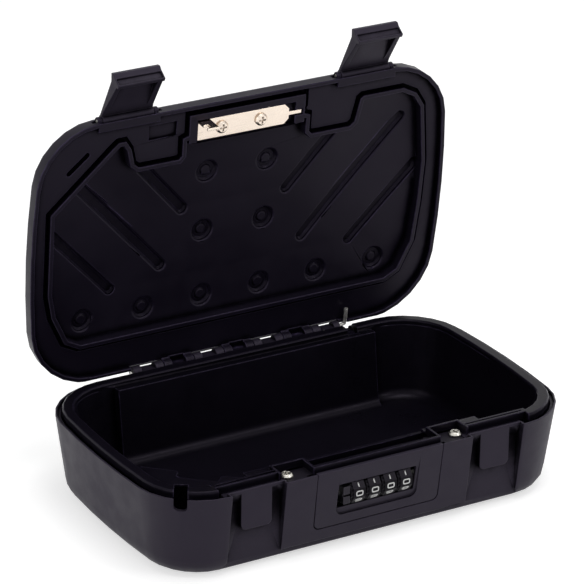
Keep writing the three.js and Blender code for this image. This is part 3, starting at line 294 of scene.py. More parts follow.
def moulded_skin():
    """Fine mould texture with a slow change of shade and gloss, as on a textured plastic moulding."""
    made = bpy.data.node_groups.get("Moulded skin")
    if made:
        return made
    group, start, end = new_group(
        "Moulded skin",
        [("Position", "vector"), ("Grain", "value"), ("Depth", "value"), ("Roughness", "value")],
        [("Shade", "value"), ("Roughness", "value"), ("Height", "value")],
    )
    position = start.outputs["Position"]
    fine = noise(group, position, start.outputs["Grain"], detail=3.0, roughness=0.6)
    slow = noise(group, position, scale=26.0, detail=4.0, roughness=0.55)
    medium = noise(group, position, scale=140.0)
    cells = group.nodes.new("ShaderNodeTexVoronoi")
    group.links.new(position, cells.inputs["Vector"])
    group.links.new(start.outputs["Grain"], cells.inputs["Scale"])
    pits = math_node(group, "MULTIPLY", cells.outputs["Distance"], 0.45)
    grain = math_node(group, "MULTIPLY_ADD", fine, 0.7, pits)
    group.links.new(math_node(group, "MULTIPLY", grain, start.outputs["Depth"]), end.inputs["Height"])
    drift = wander(group, slow, middle=0.0, swing=0.05)
    flecks = wander(group, medium, middle=0.0, swing=0.03, spread=0.15)
    change = math_node(group, "ADD", drift, flecks)
    rough = math_node(group, "ADD", start.outputs["Roughness"], change, clamp=True)
    group.links.new(rough, end.inputs["Roughness"])
    patches = wander(group, slow, middle=1.0, swing=0.08)
    specks = wander(group, fine, middle=1.0, swing=0.12)
    group.links.new(math_node(group, "MULTIPLY", patches, specks), end.inputs["Shade"])
    return group


def rubbed_and_highlighted_edge():
    """A mask that is up to 1 along edges, broken up by noise, where hands polish a moulding; it also
    carries the painted highlight that lightens the edges.
    """
    made = bpy.data.node_groups.get("Rubbed and highlighted edge")
    if made:
        return made
    group, start, end = new_group(
        "Rubbed and highlighted edge", [("Position", "vector"), ("Amount", "value")], [("Mask", "value")]
    )
    rounded = group.nodes.new("ShaderNodeBevel")
    rounded.samples = 4
    rounded.inputs["Radius"].default_value = 0.7 * MM
    geometry = group.nodes.new("ShaderNodeNewGeometry")
    likeness = group.nodes.new("ShaderNodeVectorMath")
    likeness.operation = "DOT_PRODUCT"
    group.links.new(rounded.outputs["Normal"], likeness.inputs[0])
    group.links.new(geometry.outputs["Normal"], likeness.inputs[1])
    edge = map_range(group, likeness.outputs["Value"], low=0.997, high=0.93, to_low=0.0, to_high=1.0)
    uneven = noise(group, start.outputs["Position"], scale=420.0, detail=3.0)
    patchy = map_range(group, uneven, low=0.35, high=0.65, to_low=0.35, to_high=1.0)
    mask = math_node(group, "MULTIPLY", edge, patchy)
    wear_and_highlight = math_node(group, "MULTIPLY", mask, start.outputs["Amount"], clamp=True)
    group.links.new(wear_and_highlight, end.inputs["Mask"])
    return group


def painted_corner_shade():
    """Painted shade: a value that falls from 1 to a least one in corners and narrow gaps, as the light
    does, which darkens colour and gloss there.
    """
    made = bpy.data.node_groups.get("Painted corner shade")
    if made:
        return made
    group, start, end = new_group(
        "Painted corner shade", [("Position", "vector"), ("Reach", "value"), ("Least", "value")], [("Open", "value")]
    )
    around = group.nodes.new("ShaderNodeAmbientOcclusion")
    around.samples = 8
    around.only_local = True
    group.links.new(start.outputs["Reach"], around.inputs["Distance"])
    uneven = noise(group, start.outputs["Position"], scale=310.0, detail=3.0)
    patchy = wander(group, uneven, middle=0.0, swing=0.04)
    level = math_node(group, "ADD", around.outputs["AO"], patchy, clamp=True)
    opened = map_range(group, level, low=0.62, high=0.96, to_low=start.outputs["Least"], to_high=1.0)
    group.links.new(opened, end.inputs["Open"])
    return group


def brushed_metal():
    """Fine lines along X, with faint stains, as on rolled or drawn metal."""
    lines_along, lines_across = 90.0, 2600.0
    made = bpy.data.node_groups.get("Brushed metal")
    if made:
        return made
    group, start, end = new_group(
        "Brushed metal",
        [("Position", "vector"), ("Roughness", "value"), ("Depth", "value")],
        [("Shade", "value"), ("Roughness", "value"), ("Height", "value")],
    )
    stretch = group.nodes.new("ShaderNodeMapping")
    stretch.inputs["Scale"].default_value = (lines_along, lines_across, lines_across)
    group.links.new(start.outputs["Position"], stretch.inputs["Vector"])
    lines = noise(group, stretch.outputs["Vector"], scale=1.0, detail=3.0, roughness=0.6)
    stain = noise(group, start.outputs["Position"], scale=190.0, detail=3.0, roughness=0.6)
    group.links.new(math_node(group, "MULTIPLY", lines, start.outputs["Depth"]), end.inputs["Height"])
    drawn = wander(group, lines, middle=0.0, swing=0.05)
    stained = map_range(group, stain, low=0.3, high=0.7, to_low=-0.06, to_high=0.08)
    change = math_node(group, "ADD", drawn, stained)
    rough = math_node(group, "ADD", start.outputs["Roughness"], change, clamp=True)
    group.links.new(rough, end.inputs["Roughness"])
    shade = map_range(group, stain, low=0.25, high=0.75, to_low=0.9, to_high=1.05)
    group.links.new(shade, end.inputs["Shade"])
    return group


def cleared_tree(owner):
    """The node tree of a material or a world, with nothing in it yet."""
    owner.use_nodes = True
    owner.node_tree.nodes.clear()
    return owner.node_tree


def surface_material(name):
    """A new material, its tree, its shader and its object coordinates."""
    material = bpy.data.materials.new(name)
    tree = cleared_tree(material)
    output = tree.nodes.new("ShaderNodeOutputMaterial")
    shader = tree.nodes.new("ShaderNodeBsdfPrincipled")
    place = tree.nodes.new("ShaderNodeTexCoord")
    tree.links.new(shader.outputs["BSDF"], output.inputs["Surface"])
    return material, tree, shader, place.outputs["Object"]


def use_group(tree, group, position, **values):
    """A shared effect placed in a material with its own values."""
    node = tree.nodes.new("ShaderNodeGroup")
    node.node_tree = group
    tree.links.new(position, node.inputs["Position"])
    for label, value in values.items():
        node.inputs[label].default_value = value
    return node


def tinted(tree, tint, factor):
    """A colour scaled by a value that changes over the surface."""
    node = tree.nodes.new("ShaderNodeVectorMath")
    node.operation = "SCALE"
    node.inputs[0].default_value = tint[:3]
    tree.links.new(factor, node.inputs["Scale"])
    return node.outputs["Vector"]


def bump(tree, shader, height):
    """Leads a height in metres to the shader's normal."""
    node = tree.nodes.new("ShaderNodeBump")
    node.inputs["Distance"].default_value = 1.0
    node.inputs["Strength"].default_value = 1.0
    tree.links.new(height, node.inputs["Height"])
    tree.links.new(node.outputs["Normal"], shader.inputs["Normal"])


def plastic(name, tint, settings, **own_look):
    """Satin black plastic: mould grain, slow gloss changes, painted shade in corners, and smoother edges
    lightened by a painted highlight.

    Its own look may give a roughness, the depth of the grain, the reach of the painted corner shade,
    the amount of the edge mask that polishes the edges and lightens them as a painted highlight, how far
    that painted highlight raises the colour, the polish, and how much it mirrors.
    of the edges with their lift in colour and their polish, and how much it mirrors.
    """
    found = bpy.data.materials.get(name)
    if found:
        return found
    look = {
        "roughness": settings.roughness,
        "depth": settings.grain_depth,
        "reach": settings.shade_reach,
        "wear": 0.6,
        "lift": 0.9,
        "polish": 0.16,
        "specular": 0.22,
        **own_look,
    }
    material, tree, shader, position = surface_material(name)
    grain = 1.0 / settings.grain_size
    skin = use_group(
        tree, moulded_skin(), position, Grain=grain, Depth=look["depth"], Roughness=look["roughness"]
    )
    edge = use_group(tree, rubbed_and_highlighted_edge(), position, Amount=look["wear"])
    # Painted shade: colour and gloss grow darker in corners and narrow gaps
    corner = use_group(tree, painted_corner_shade(), position, Reach=look["reach"], Least=settings.shade_least)
    # Painted highlight: the edge mask lightens the colour along edges
    lift = math_node(tree, "MULTIPLY_ADD", edge.outputs["Mask"], look["lift"], 1.0)
    open_shade = math_node(tree, "MULTIPLY", skin.outputs["Shade"], corner.outputs["Open"])
    shade = math_node(tree, "MULTIPLY", open_shade, lift)
    tree.links.new(tinted(tree, tint, shade), shader.inputs["Base Color"])
    polish = math_node(tree, "MULTIPLY", edge.outputs["Mask"], look["polish"])
    rough = math_node(tree, "SUBTRACT", skin.outputs["Roughness"], polish, clamp=True)
    tree.links.new(rough, shader.inputs["Roughness"])
    gloss = math_node(tree, "MULTIPLY", corner.outputs["Open"], look["specular"])
    tree.links.new(gloss, shader.inputs["Specular IOR Level"])
    shader.inputs["Specular Tint"].default_value = (*settings.gloss_tint, 1.0)
    bump(tree, shader, skin.outputs["Height"])
    return material


def metal(name, tint, roughness, depth=0.004 * MM):
    """Bare or plated metal with drawn lines, faint stains, and painted shade in its corners."""
    found = bpy.data.materials.get(name)
    if found:
        return found
    material, tree, shader, position = surface_material(name)
    drawn = use_group(tree, brushed_metal(), position, Roughness=roughness, Depth=depth)
    # Painted shade: the colour darkens in tight corners
    corner = use_group(tree, painted_corner_shade(), position, Reach=0.7 * MM, Least=0.25)
    shade = math_node(tree, "MULTIPLY", drawn.outputs["Shade"], corner.outputs["Open"])
    tree.links.new(tinted(tree, tint, shade), shader.inputs["Base Color"])
    tree.links.new(drawn.outputs["Roughness"], shader.inputs["Roughness"])
    shader.inputs["Metallic"].default_value = 1.0
    bump(tree, shader, drawn.outputs["Height"])
    return material


def paint(name, tint):
    """Printed white paint, slightly uneven."""
    found = bpy.data.materials.get(name)
    if found:
        return found
    material, tree, shader, position = surface_material(name)
    grain = 1.0 / (0.25 * MM)
    skin = use_group(tree, moulded_skin(), position, Grain=grain, Depth=0.004 * MM, Roughness=0.45)
    softened = map_range(tree, skin.outputs["Shade"], low=0.8, high=1.2, to_low=0.92, to_high=1.0)
    tree.links.new(tinted(tree, tint, softened), shader.inputs["Base Color"])
    tree.links.new(skin.outputs["Roughness"], shader.inputs["Roughness"])
    bump(tree, shader, skin.outputs["Height"])
    return material


# Meshes


def merged_copy(node):
    """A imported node's faces in a new bmesh, with doubles merged and flat faces made whole."""
    bm = bmesh.new()
    bm.from_mesh(frame["nodes"][node].data)
    bmesh.ops.remove_doubles(bm, verts=bm.verts, dist=PACKED_DOUBLES)
    bmesh.ops.dissolve_degenerate(bm, edges=bm.edges, dist=SLIVER)
    bmesh.ops.dissolve_limit(
        bm,
        angle_limit=math.radians(FLAT),
        use_dissolve_boundaries=False,
        verts=bm.verts,
        edges=bm.edges,
        delimit=set(),
    )
    return bm


def bevel_edges(bm, edges, radius):
    """Rounds edges of a bmesh."""
    bmesh.ops.bevel(
        bm,
        geom=edges,
        offset=radius,
        offset_type="OFFSET",
        segments=4,
        profile=0.5,
        affect="EDGES",
        clamp_overlap=False,
        material=-1,
        loop_slide=False,
    )


def sunk_floors(bm):
    """Groups of joined faces that look down, each sunk below all that rings it."""
    looking_down = [face for face in bm.faces if face.normal.z < -MOSTLY]
    left = set(looking_down)
    floors = []
    for first in looking_down:
        if first not in left:
            continue
        left.discard(first)
        group, waiting = [], [first]
        while waiting:
            face = waiting.pop()
            group.append(face)
            for edge in face.edges:
                for other in edge.link_faces:
                    if other in left:
                        left.discard(other)
                        waiting.append(other)
        inside = set(group)
        edges = {edge for face in group for edge in face.edges}
        ring = [edge for edge in edges if not inside.issuperset(edge.link_faces)]
        if all(edge.calc_face_angle_signed(0.0) < 0 for edge in ring):
            floors.append(group)
    return floors


def mouth_edges(group, lowest):
    """The outward edges of the walls round a sunk floor, without those below a height."""
    around = {face for member in group for edge in member.edges for face in edge.link_faces}
    walls = around - set(group)
    return {
        edge
        for wall in walls
        for edge in wall.edges
        if edge.calc_face_angle_signed(0.0) > math.radians(MOUTH_SHARP)
        and not all(face in walls for face in edge.link_faces)
        and min(vert.co.z for vert in edge.verts) > lowest
    }


def verts_of(faces):
    """The corners of some faces, each once and always in the same order."""
    return list(dict.fromkeys(vert for face in faces for vert in face.verts))


def area_of(faces):
    """The area of some faces in square millimetres."""
    return sum(face.calc_area() for face in faces) / (MM * MM)


def area_within(faces, band):
    """Whether the area of some faces lies between two areas in square millimetres."""
    least, most = band
    return least < area_of(faces) < most


def mark_edges(bm):
    """Marks the edges that stand out for the edge rounding, and keeps the inward corners crisp."""
    sharp = math.radians(SHARP)
    weight = bm.edges.layers.float.new("bevel_weight_edge")
    for edge in bm.edges:
        turn = edge.calc_face_angle_signed(0.0)
        edge[weight] = float(turn > sharp)
        edge.smooth = turn > -sharp


def split_hollow_faces(bm, faces):
    """Splits faces with hollow sides, so that none folds over when its edges are rounded."""
    bmesh.ops.connect_verts_concave(bm, faces=[face for face in faces if len(face.verts) > 4])


def linked_object(name, data):
    """A new object in the scene."""
    obj = bpy.data.objects.new(name, data)
    bpy.context.scene.collection.objects.link(obj)
    return obj


def mesh_from(bm, name):
    """The bmesh as a mesh, and the bmesh freed."""
    mesh = bpy.data.meshes.new(name)
    bm.to_mesh(mesh)
    bm.free()
    return mesh


def piece(bm, name, material, body, nodes=()):
    """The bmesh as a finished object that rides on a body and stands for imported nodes."""
    mesh = mesh_from(bm, name)
    mesh.materials.append(material)
    obj = linked_object(name, mesh)
    if nodes:
        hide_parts(*nodes)
    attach(obj, body)
    return obj


def round_edges(obj, radius, sharp=SHARP):
    """Rounds the sharp edges, and shades the curves between them smooth."""
    for face in obj.data.polygons:
        face.use_smooth = True
    rounding = obj.modifiers.new("Rounded edges", "BEVEL")
    rounding.width = radius
    rounding.segments = 2
    rounding.limit_method = "ANGLE"
    rounding.angle_limit = math.radians(sharp)
    rounding.use_clamp_overlap = False
    rounding.loop_slide = False
    rounding.miter_outer = "MITER_ARC"
    obj.modifiers.new("Doubles merged", "WELD").merge_threshold = ROUNDED_DOUBLES
    normals = obj.modifiers.new("Flat faces stay flat", "WEIGHTED_NORMAL")
    normals.mode = "FACE_AREA"
    normals.weight = 60
    normals.keep_sharp = True
    return rounding


def finished_node(node, body, material, radius, sharp=SHARP):
    """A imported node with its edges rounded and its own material."""
    bm = merged_copy(node)
    split_hollow_faces(bm, bm.faces)
    obj = piece(bm, node + "_finished", material, body, [node])
    round_edges(obj, radius, sharp)
    return obj


def joint_named(name):
    """What the frame says of one joint."""
    return next(joint for joint in frame["joints"] if joint["name"] == name)


# Operators, one for each piece or group of like pieces


class SAFE_OT_tub(bpy.types.Operator):
    """Finish the outer tub: drafted walls, latch recesses, hinge knuckles and cable notch"""

    bl_idname = "car_safe.tub"
    bl_label = "Tub"

    def execute(self, context):
        settings = context.scene.safe_mouldings
        # Painted shade reaches 8 mm from walls here, blackening the latch recesses
        material = plastic("Shell plastic", settings.shell_colour, settings, reach=8 * MM)
        bm = merged_copy("base_shell")
        forward = [face for face in bm.faces if face.normal.y < -WHOLLY]
        floors = [face for face in forward if area_within([face], RECESS_FLOOR)]
        if len(floors) != len(SIDES):
            raise RuntimeError(f"the tub has {len(floors)} latch recesses, not {len(SIDES)}")
        bmesh.ops.translate(bm, verts=verts_of(floors), vec=(0, settings.recess_deeper, 0))
        mark_edges(bm)
        split_hollow_faces(bm, bm.faces)
        tub = piece(bm, "base_shell_finished", material, "base", ["base_shell"])
        round_edges(tub, settings.shell_edge).limit_method = "WEIGHT"
        return {"FINISHED"}


class SAFE_OT_liner(bpy.types.Operator):
    """Finish the inner tub with the raised lip round its mouth"""

    bl_idname = "car_safe.liner"
    bl_label = "Liner"

    def execute(self, context):
        settings = context.scene.safe_mouldings
        # Painted highlight: a strong colour lift along the lip's edges
        material = plastic(
            "Liner plastic",
            settings.liner_colour,
            settings,
            roughness=0.32,
            depth=0.003 * MM,
            specular=0.1,
            wear=1.0,
            lift=12.0,
        )
        bm = merged_copy("base_liner")
        bevel_edges(bm, self.notch_corners(bm), settings.tab_round)
        mark_edges(bm)
        split_hollow_faces(bm, bm.faces)
        liner = piece(bm, "base_liner_finished", material, "base", ["base_liner"])
        round_edges(liner, settings.liner_edge).limit_method = "WEIGHT"
        return {"FINISHED"}

    def notch_corners(self, bm):
        """The tall upright edges of the walls near the cable notch, at the front left."""
        low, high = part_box("base_liner")
        tall = 8 * MM
        upright = 0.99
        corner_turn = math.radians(30)
        return [
            edge
            for edge in bm.edges
            if abs((edge.verts[0].co - edge.verts[1].co).normalized().z) > upright
            and edge.calc_length() > tall
            and edge.verts[0].co.x < low.x / 3
            and edge.verts[0].co.y < low.y / 3
            and edge.calc_face_angle(0.0) > corner_turn
        ]


class SAFE_OT_panel(bpy.types.Operator):
    """Finish the lock panel that is let into the front wall"""

    bl_idname = "car_safe.panel"
    bl_label = "Lock panel"

    def execute(self, context):
        settings = context.scene.safe_mouldings
        material = plastic("Panel plastic", settings.panel_colour, settings)
        finished_node("lock_panel", "base", material, settings.panel_edge)
        return {"FINISHED"}


class SAFE_OT_lock(bpy.types.Operator):
    """Finish the lock behind the panel: case, bolt, axle, sleeves and springs"""

    bl_idname = "car_safe.lock"
    bl_label = "Lock works"

    def execute(self, context):
        mouldings = context.scene.safe_mouldings
        metals = context.scene.safe_metals
        dark = plastic("Case plastic", mouldings.liner_colour, mouldings)
        steel = metal("Plain steel", metals.steel_colour, roughness=0.34)
        brass = metal("Turned brass", metals.brass_colour, roughness=0.3)
        finished_node("lock_case", "base", dark, radius=0.2 * MM)
        finished_node("dial_spring", "base", steel, radius=0.05 * MM)
        spring = finished_node("slide_spring", "base", steel, radius=0.02 * MM)
        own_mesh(spring)
        finished_node("dial_axle", "release", steel, radius=0.08 * MM)
        finished_node("latch_bolt", "release", steel, radius=0.15 * MM)
        for number in WHEELS:
            finished_node(f"sleeve_{number}", f"wheel_{number}", brass, radius=0.06 * MM)
        return {"FINISHED"}


# Middle lines of the numbers: closed or not, then shares of the width and the height
DIGIT_STROKES = {
    0: [(True, [(0, 0), (0.5, 0), (1, 0), (1, 0.5), (1, 1), (0.5, 1), (0, 1), (0, 0.5)])],
    1: [(False, [(0.5, 0), (0.5, 1)])],
    2: [(False, [(0, 1), (0.7, 1), (1, 1), (1, 0.6), (0.5, 0.4), (0, 0.1), (0, 0), (1, 0)])],
    3: [
        (False, [(0, 1), (0.8, 1), (1, 0.9), (1, 0.52), (0.4, 0.52)]),
        (False, [(0.4, 0.48), (1, 0.48), (1, 0.1), (0.8, 0), (0, 0)]),
    ],
    4: [(False, [(0.8, 0), (0.8, 1), (0, 0.3), (0, 0.3), (1, 0.3)])],
    5: [(False, [(1, 1), (0, 1), (0, 1), (0, 0.55), (0.8, 0.6), (1, 0.5), (1, 0.1), (0.8, 0), (0, 0)])],
    6: [
        (
            False,
            [(0.9, 1), (0.2, 1), (0, 0.8), (0, 0.2), (0.2, 0), (0.8, 0), (1, 0.2), (1, 0.5), (0.1, 0.55)],
        ),
    ],
    7: [(False, [(0, 1), (1, 1), (1, 1), (0.3, 0)])],
    8: [
        (True, [(0.1, 0.5), (0.1, 1), (0.9, 1), (0.9, 0.5)]),
        (True, [(0, 0), (1, 0), (1, 0.48), (0, 0.48)]),
    ],
    9: [
        (
            False,
            [(0.1, 0), (0.8, 0), (1, 0.2), (1, 0.8), (0.8, 1), (0.2, 1), (0, 0.8), (0, 0.5), (0.9, 0.45)],
        ),
    ],
}


def painted_digit(digit, wide, high, stroke, thick):
    """One number as strokes of paint in a bmesh, its middle at the origin, facing +Z."""
    curve = bpy.data.curves.new("digit", "CURVE")
    curve.dimensions = "3D"
    curve.bevel_depth = stroke / 2
    curve.bevel_resolution = 1
    curve.use_fill_caps = True
    for closed, points in DIGIT_STROKES[digit]:
        line = curve.splines.new("NURBS")
        line.points.add(len(points) - 1)
        for point, (across, up) in zip(line.points, points):
            point.co = ((across - 0.5) * (wide - stroke), (up - 0.5) * (high - stroke), 0.0, 1.0)
        line.order_u = 3
        line.use_endpoint_u = not closed
        line.use_cyclic_u = closed
        line.resolution_u = 3
    holder = linked_object("digit", curve)
    bpy.context.view_layer.update()
    evaluated = holder.evaluated_get(bpy.context.evaluated_depsgraph_get())
    mesh = bpy.data.meshes.new_from_object(evaluated)
    bpy.data.objects.remove(holder)
    bpy.data.curves.remove(curve)
    bm = bmesh.new()
    bm.from_mesh(mesh)
    bpy.data.meshes.remove(mesh)
    bmesh.ops.remove_doubles(bm, verts=bm.verts, dist=PAINTED_DOUBLES)
    bmesh.ops.scale(bm, verts=bm.verts, vec=(1.0, 1.0, thick / stroke))
    return bm


def joined_meshes(parts, name):
    """Several bmeshes in one."""
    whole = bmesh.new()
    for part in parts:
        mesh = mesh_from(part, name)
        whole.from_mesh(mesh)
        bpy.data.meshes.remove(mesh)
    return whole


class SAFE_OT_wheels(bpy.types.Operator):
    """Make the four number wheels with raised pads and painted numbers"""

    bl_idname = "car_safe.wheels"
    bl_label = "Number wheels"

    def execute(self, context):
        settings = context.scene.safe_wheels
        black = plastic(
            "Wheel plastic",
            settings.wheel_colour,
            context.scene.safe_mouldings,
            roughness=0.3,
            depth=0.003 * MM,
            wear=1.0,
            specular=0.1,
        )
        white = paint("Number paint", settings.paint_colour)
        for number in WHEELS:
            node = f"dial_{number}"
            body = f"wheel_{number}"
            bm = merged_copy(node)
            low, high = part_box(node)
            middle = (low + high) / 2
            pads = self.number_faces(bm)
            if len(pads) != len(DIGITS):
                raise RuntimeError(f"{node} has {len(pads)} faces for numbers, not {len(DIGITS)}")
            across = [vert.co.x for vert in verts_of(pads)]
            middle.x = (min(across) + max(across)) / 2
            rise = settings.pad_rise
            top = rise + max((face.calc_center_median() - middle).yz.length for face in pads)
            bmesh.ops.inset_individual(bm, faces=pads, thickness=settings.pad_inset, depth=rise)
            split_hollow_faces(bm, bm.faces)
            wheel = piece(bm, f"wheel_{number}_body", black, body, [node])
            round_edges(wheel, settings.edge)
            numbers = self.numbers_round(middle, top, settings)
            piece(numbers, f"wheel_{number}_numbers", white, body)
        return {"FINISHED"}

    def number_faces(self, bm):
        """The large four-sided faces round a wheel."""
        four_sided = [face for face in bm.faces if len(face.verts) == 4 and abs(face.normal.x) < HARDLY]
        return [face for face in four_sided if area_of([face]) > NUMBER_FACE_LEAST]

    def numbers_round(self, middle, top, settings):
        """The painted numbers at a distance round a wheel's middle, with 0 in front."""
        digits = []
        for digit in DIGITS:
            mark = painted_digit(
                digit, settings.digit_wide, settings.digit_high, settings.stroke, 2 * settings.paint_rise
            )
            turn = 2 * math.pi * digit / len(DIGITS)
            outward = Vector((0, -math.cos(turn), math.sin(turn)))
            up = Vector((0, math.sin(turn), math.cos(turn)))
            place = Matrix(((1, 0, 0), up, outward)).transposed().to_4x4()
            place.translation = middle + outward * top
            bmesh.ops.transform(mark, matrix=place, verts=mark.verts)
            digits.append(mark)
        return joined_meshes(digits, "numbers")


class SAFE_OT_slide(bpy.types.Operator):
    """Finish the small release slide beside the first wheel"""

    bl_idname = "car_safe.slide"
    bl_label = "Release slide"

    def execute(self, context):
        # Painted highlight: a strong colour lift along the slide's edges
        black = plastic(
            "Slide plastic",
            context.scene.safe_wheels.wheel_colour,
            context.scene.safe_mouldings,
            roughness=0.35,
            depth=0.003 * MM,
            wear=1.0,
            lift=9.0,
            specular=0.3,
        )
        finished_node("release_slide", "release", black, radius=0.2 * MM)
        return {"FINISHED"}


class SAFE_OT_screws(bpy.types.Operator):
    """Finish the screws of the lock case and of the strike plate"""

    bl_idname = "car_safe.screws"
    bl_label = "Screws"

    def execute(self, context):
        metals = context.scene.safe_metals
        zinc = metal("Zinc plate", metals.zinc_colour, roughness=0.3)
        nickel = metal("Screw nickel", metals.nickel_colour, roughness=0.22, depth=0.002 * MM)
        edge = 0.14 * MM
        for side in SIDES:
            finished_node(f"case_screw_{side}", "base", zinc, edge)
            finished_node(f"strike_screw_{side}", "lid", nickel, edge)
        return {"FINISHED"}


class SAFE_OT_lid(bpy.types.Operator):
    """Finish the domed lid with its fence, dimples and grooves"""

    bl_idname = "car_safe.lid"
    bl_label = "Lid"

    def execute(self, context):
        settings = context.scene.safe_mouldings
        # Painted highlight along the fence's and dimples' edges, and painted shade in grooves and corners
        material = plastic(
            "Lid plastic",
            settings.lid_colour,
            settings,
            roughness=0.4,
            specular=0.16,
            reach=3.5 * MM,
            wear=1.0,
            lift=8.0,
        )
        hinge = joint_named("lid_hinge")
        pivot = Matrix.Translation(hinge["pos_m"])
        turn = Matrix.Rotation(math.radians(hinge["range_deg"][1]), 4, hinge["axis"])
        shut = pivot @ turn @ pivot.inverted()
        bm = merged_copy("lid_shell")
        bm.transform(shut)
        bm.normal_update()
        self.deepen(bm, settings)
        bm.transform(shut.inverted())
        bm.normal_update()
        mark_edges(bm)
        split_hollow_faces(bm, [face for face in bm.faces if abs(face.normal.y) < MOSTLY])
        lid = piece(bm, "lid_shell_finished", material, "lid", ["lid_shell"])
        round_edges(lid, settings.shell_edge).limit_method = "WEIGHT"
        return {"FINISHED"}

    def deepen(self, bm, settings):
        """Rounds and deepens the dimples and grooves, with a button in each dimple."""
        self.simplify_dimples(bm)
        wall_deepest = 4 * MM
        simple_floor = 12
        mouths, dimples = set(), []
        for group in sunk_floors(bm):
            height = min(vert.co.z for vert in verts_of(group))
            if area_within(group, SHELF_SLIT):
                bmesh.ops.translate(bm, verts=verts_of(group), vec=(0, 0, settings.dimple_deeper))
            if not area_within(group, ROOF_MARK) or height < settings.roof_height:
                continue
            if len(group) < simple_floor:
                mouths |= mouth_edges(group, height - wall_deepest)
            is_dimple = area_of(group) < DIMPLE_MOST
            if is_dimple:
                for vert in verts_of(group):
                    vert.co.z = height
                if len(group) > 1:
                    group = bmesh.ops.dissolve_faces(bm, faces=group, use_verts=False)["region"]
                dimples.append(group)
            bmesh.ops.inset_region(
                bm,
                faces=group,
                thickness=settings.dimple_slope,
                depth=-settings.dimple_deeper,
                use_even_offset=not is_dimple,
            )
        if len(dimples) != DIMPLES:
            raise RuntimeError(f"the lid has {len(dimples)} dimples, not {DIMPLES}")
        rise = settings.button_rise
        for group in dimples:
            bmesh.ops.inset_region(bm, faces=group, thickness=settings.button_rim)
            bmesh.ops.inset_region(bm, faces=group, thickness=rise, depth=rise)
        bevel_edges(bm, list(mouths), settings.dimple_round)

    def simplify_dimples(self, bm):
        """Merges the many small faces that the curved roof leaves in the floors of some dimples."""
        few_faces = 4
        apart = 0.6 * MM
        floors = [group for group in sunk_floors(bm) if area_of(group) < DIMPLE_MOST]
        crowded = [face for group in floors if len(group) > few_faces for face in group]
        bmesh.ops.remove_doubles(bm, verts=verts_of(crowded), dist=apart)
        bm.normal_update()


class SAFE_OT_strike(bpy.types.Operator):
    """Finish the bright strike plate with its bent lug"""

    bl_idname = "car_safe.strike"
    bl_label = "Strike plate"

    def execute(self, context):
        metals = context.scene.safe_metals
        nickel = metal("Bright nickel", metals.nickel_colour, roughness=0.2, depth=0.002 * MM)
        finished_node("strike_plate", "lid", nickel, metals.plate_edge)
        return {"FINISHED"}


class SAFE_OT_latches(bpy.types.Operator):
    """Finish the two snap latches on the lid's front edge"""

    bl_idname = "car_safe.latches"
    bl_label = "Latches"

    def execute(self, context):
        settings = context.scene.safe_mouldings
        material = plastic("Latch plastic", settings.shell_colour, settings)
        channel = settings.latch_channel
        for side in SIDES:
            node = f"latch_{side}"
            bm = merged_copy(node)
            self.slope_ribs(bm)
            tips = [face for face in bm.faces if len(face.verts) == 4 and area_within([face], LATCH_TIP)]
            if len(tips) != 1:
                raise RuntimeError(f"{node} has {len(tips)} faces like its tip, not 1")
            bmesh.ops.inset_individual(bm, faces=tips, thickness=channel, depth=0.0)
            bmesh.ops.inset_individual(bm, faces=tips, thickness=channel / 2, depth=-channel)
            split_hollow_faces(bm, bm.faces)
            latch = piece(bm, node + "_finished", material, f"{side}_latch", [node])
            round_edges(latch, settings.latch_edge)
        return {"FINISHED"}

    def slope_ribs(self, bm):
        """Leads the two side ribs down to the root in one long slope."""
        rib_height = 3.4 * MM
        rib_drop = 2.3 * MM
        close = 0.1 * MM
        many_sided = [face for face in bm.faces if len(face.verts) > 8]
        inner = max(many_sided, key=lambda face: face.calc_area())
        out = inner.normal.copy()
        along = out.cross(Vector((1, 0, 0)))
        height = {vert: (vert.co - inner.verts[0].co).dot(out) for vert in bm.verts}
        crest = [vert for vert in bm.verts if abs(height[vert] - rib_height) < close]
        hook = max(bm.verts, key=lambda vert: height[vert]).co.dot(along)
        far = max(abs(vert.co.dot(along) - hook) for vert in crest)
        for vert in crest:
            if abs(vert.co.dot(along) - hook) > far - 2 * close:
                vert.co -= out * rib_drop


class SAFE_OT_pins(bpy.types.Operator):
    """Finish the hinge pin and the two latch pins"""

    bl_idname = "car_safe.pins"
    bl_label = "Pins"

    def execute(self, context):
        metals = context.scene.safe_metals
        steel = metal("Drawn wire", metals.steel_colour, roughness=0.42)
        finished_node("hinge_pin", "lid", steel, radius=0.12 * MM, sharp=PIN_SHARP)
        for side in SIDES:
            finished_node(f"latch_pin_{side}", "lid", steel, radius=0.1 * MM, sharp=PIN_SHARP)
        return {"FINISHED"}


def seen_by_camera(tree):
    """1 where the camera or a reflection looks at the studio, and 0 where the studio gives light."""
    path = tree.nodes.new("ShaderNodeLightPath")
    return math_node(tree, "ADD", path.outputs["Is Camera Ray"], path.outputs["Is Glossy Ray"], clamp=True)


def white_for_the_camera(tree, shader_socket, output, level):
    """Adds plain white, at a level, where the camera or a reflection sees a surface."""
    glow = tree.nodes.new("ShaderNodeEmission")
    strength = math_node(tree, "MULTIPLY", seen_by_camera(tree), level)
    tree.links.new(strength, glow.inputs["Strength"])
    both = tree.nodes.new("ShaderNodeAddShader")
    tree.links.new(shader_socket, both.inputs[0])
    tree.links.new(glow.outputs["Emission"], both.inputs[1])
    tree.links.new(both.outputs["Shader"], output.inputs["Surface"])


def soft_box(name, place, size, watts):
    """A soft rectangular lamp, turned to the middle of the safe."""
    middle = Vector((0.0, 0.0, 0.08))
    lamp = bpy.data.lights.new(name, "AREA")
    lamp.shape = "RECTANGLE"
    lamp.size, lamp.size_y = size
    lamp.energy = watts
    obj = linked_object(name, lamp)
    obj.location = place
    obj.rotation_mode = "QUATERNION"
    obj.rotation_quaternion = (middle - Vector(place)).to_track_quat("-Z", "Y")


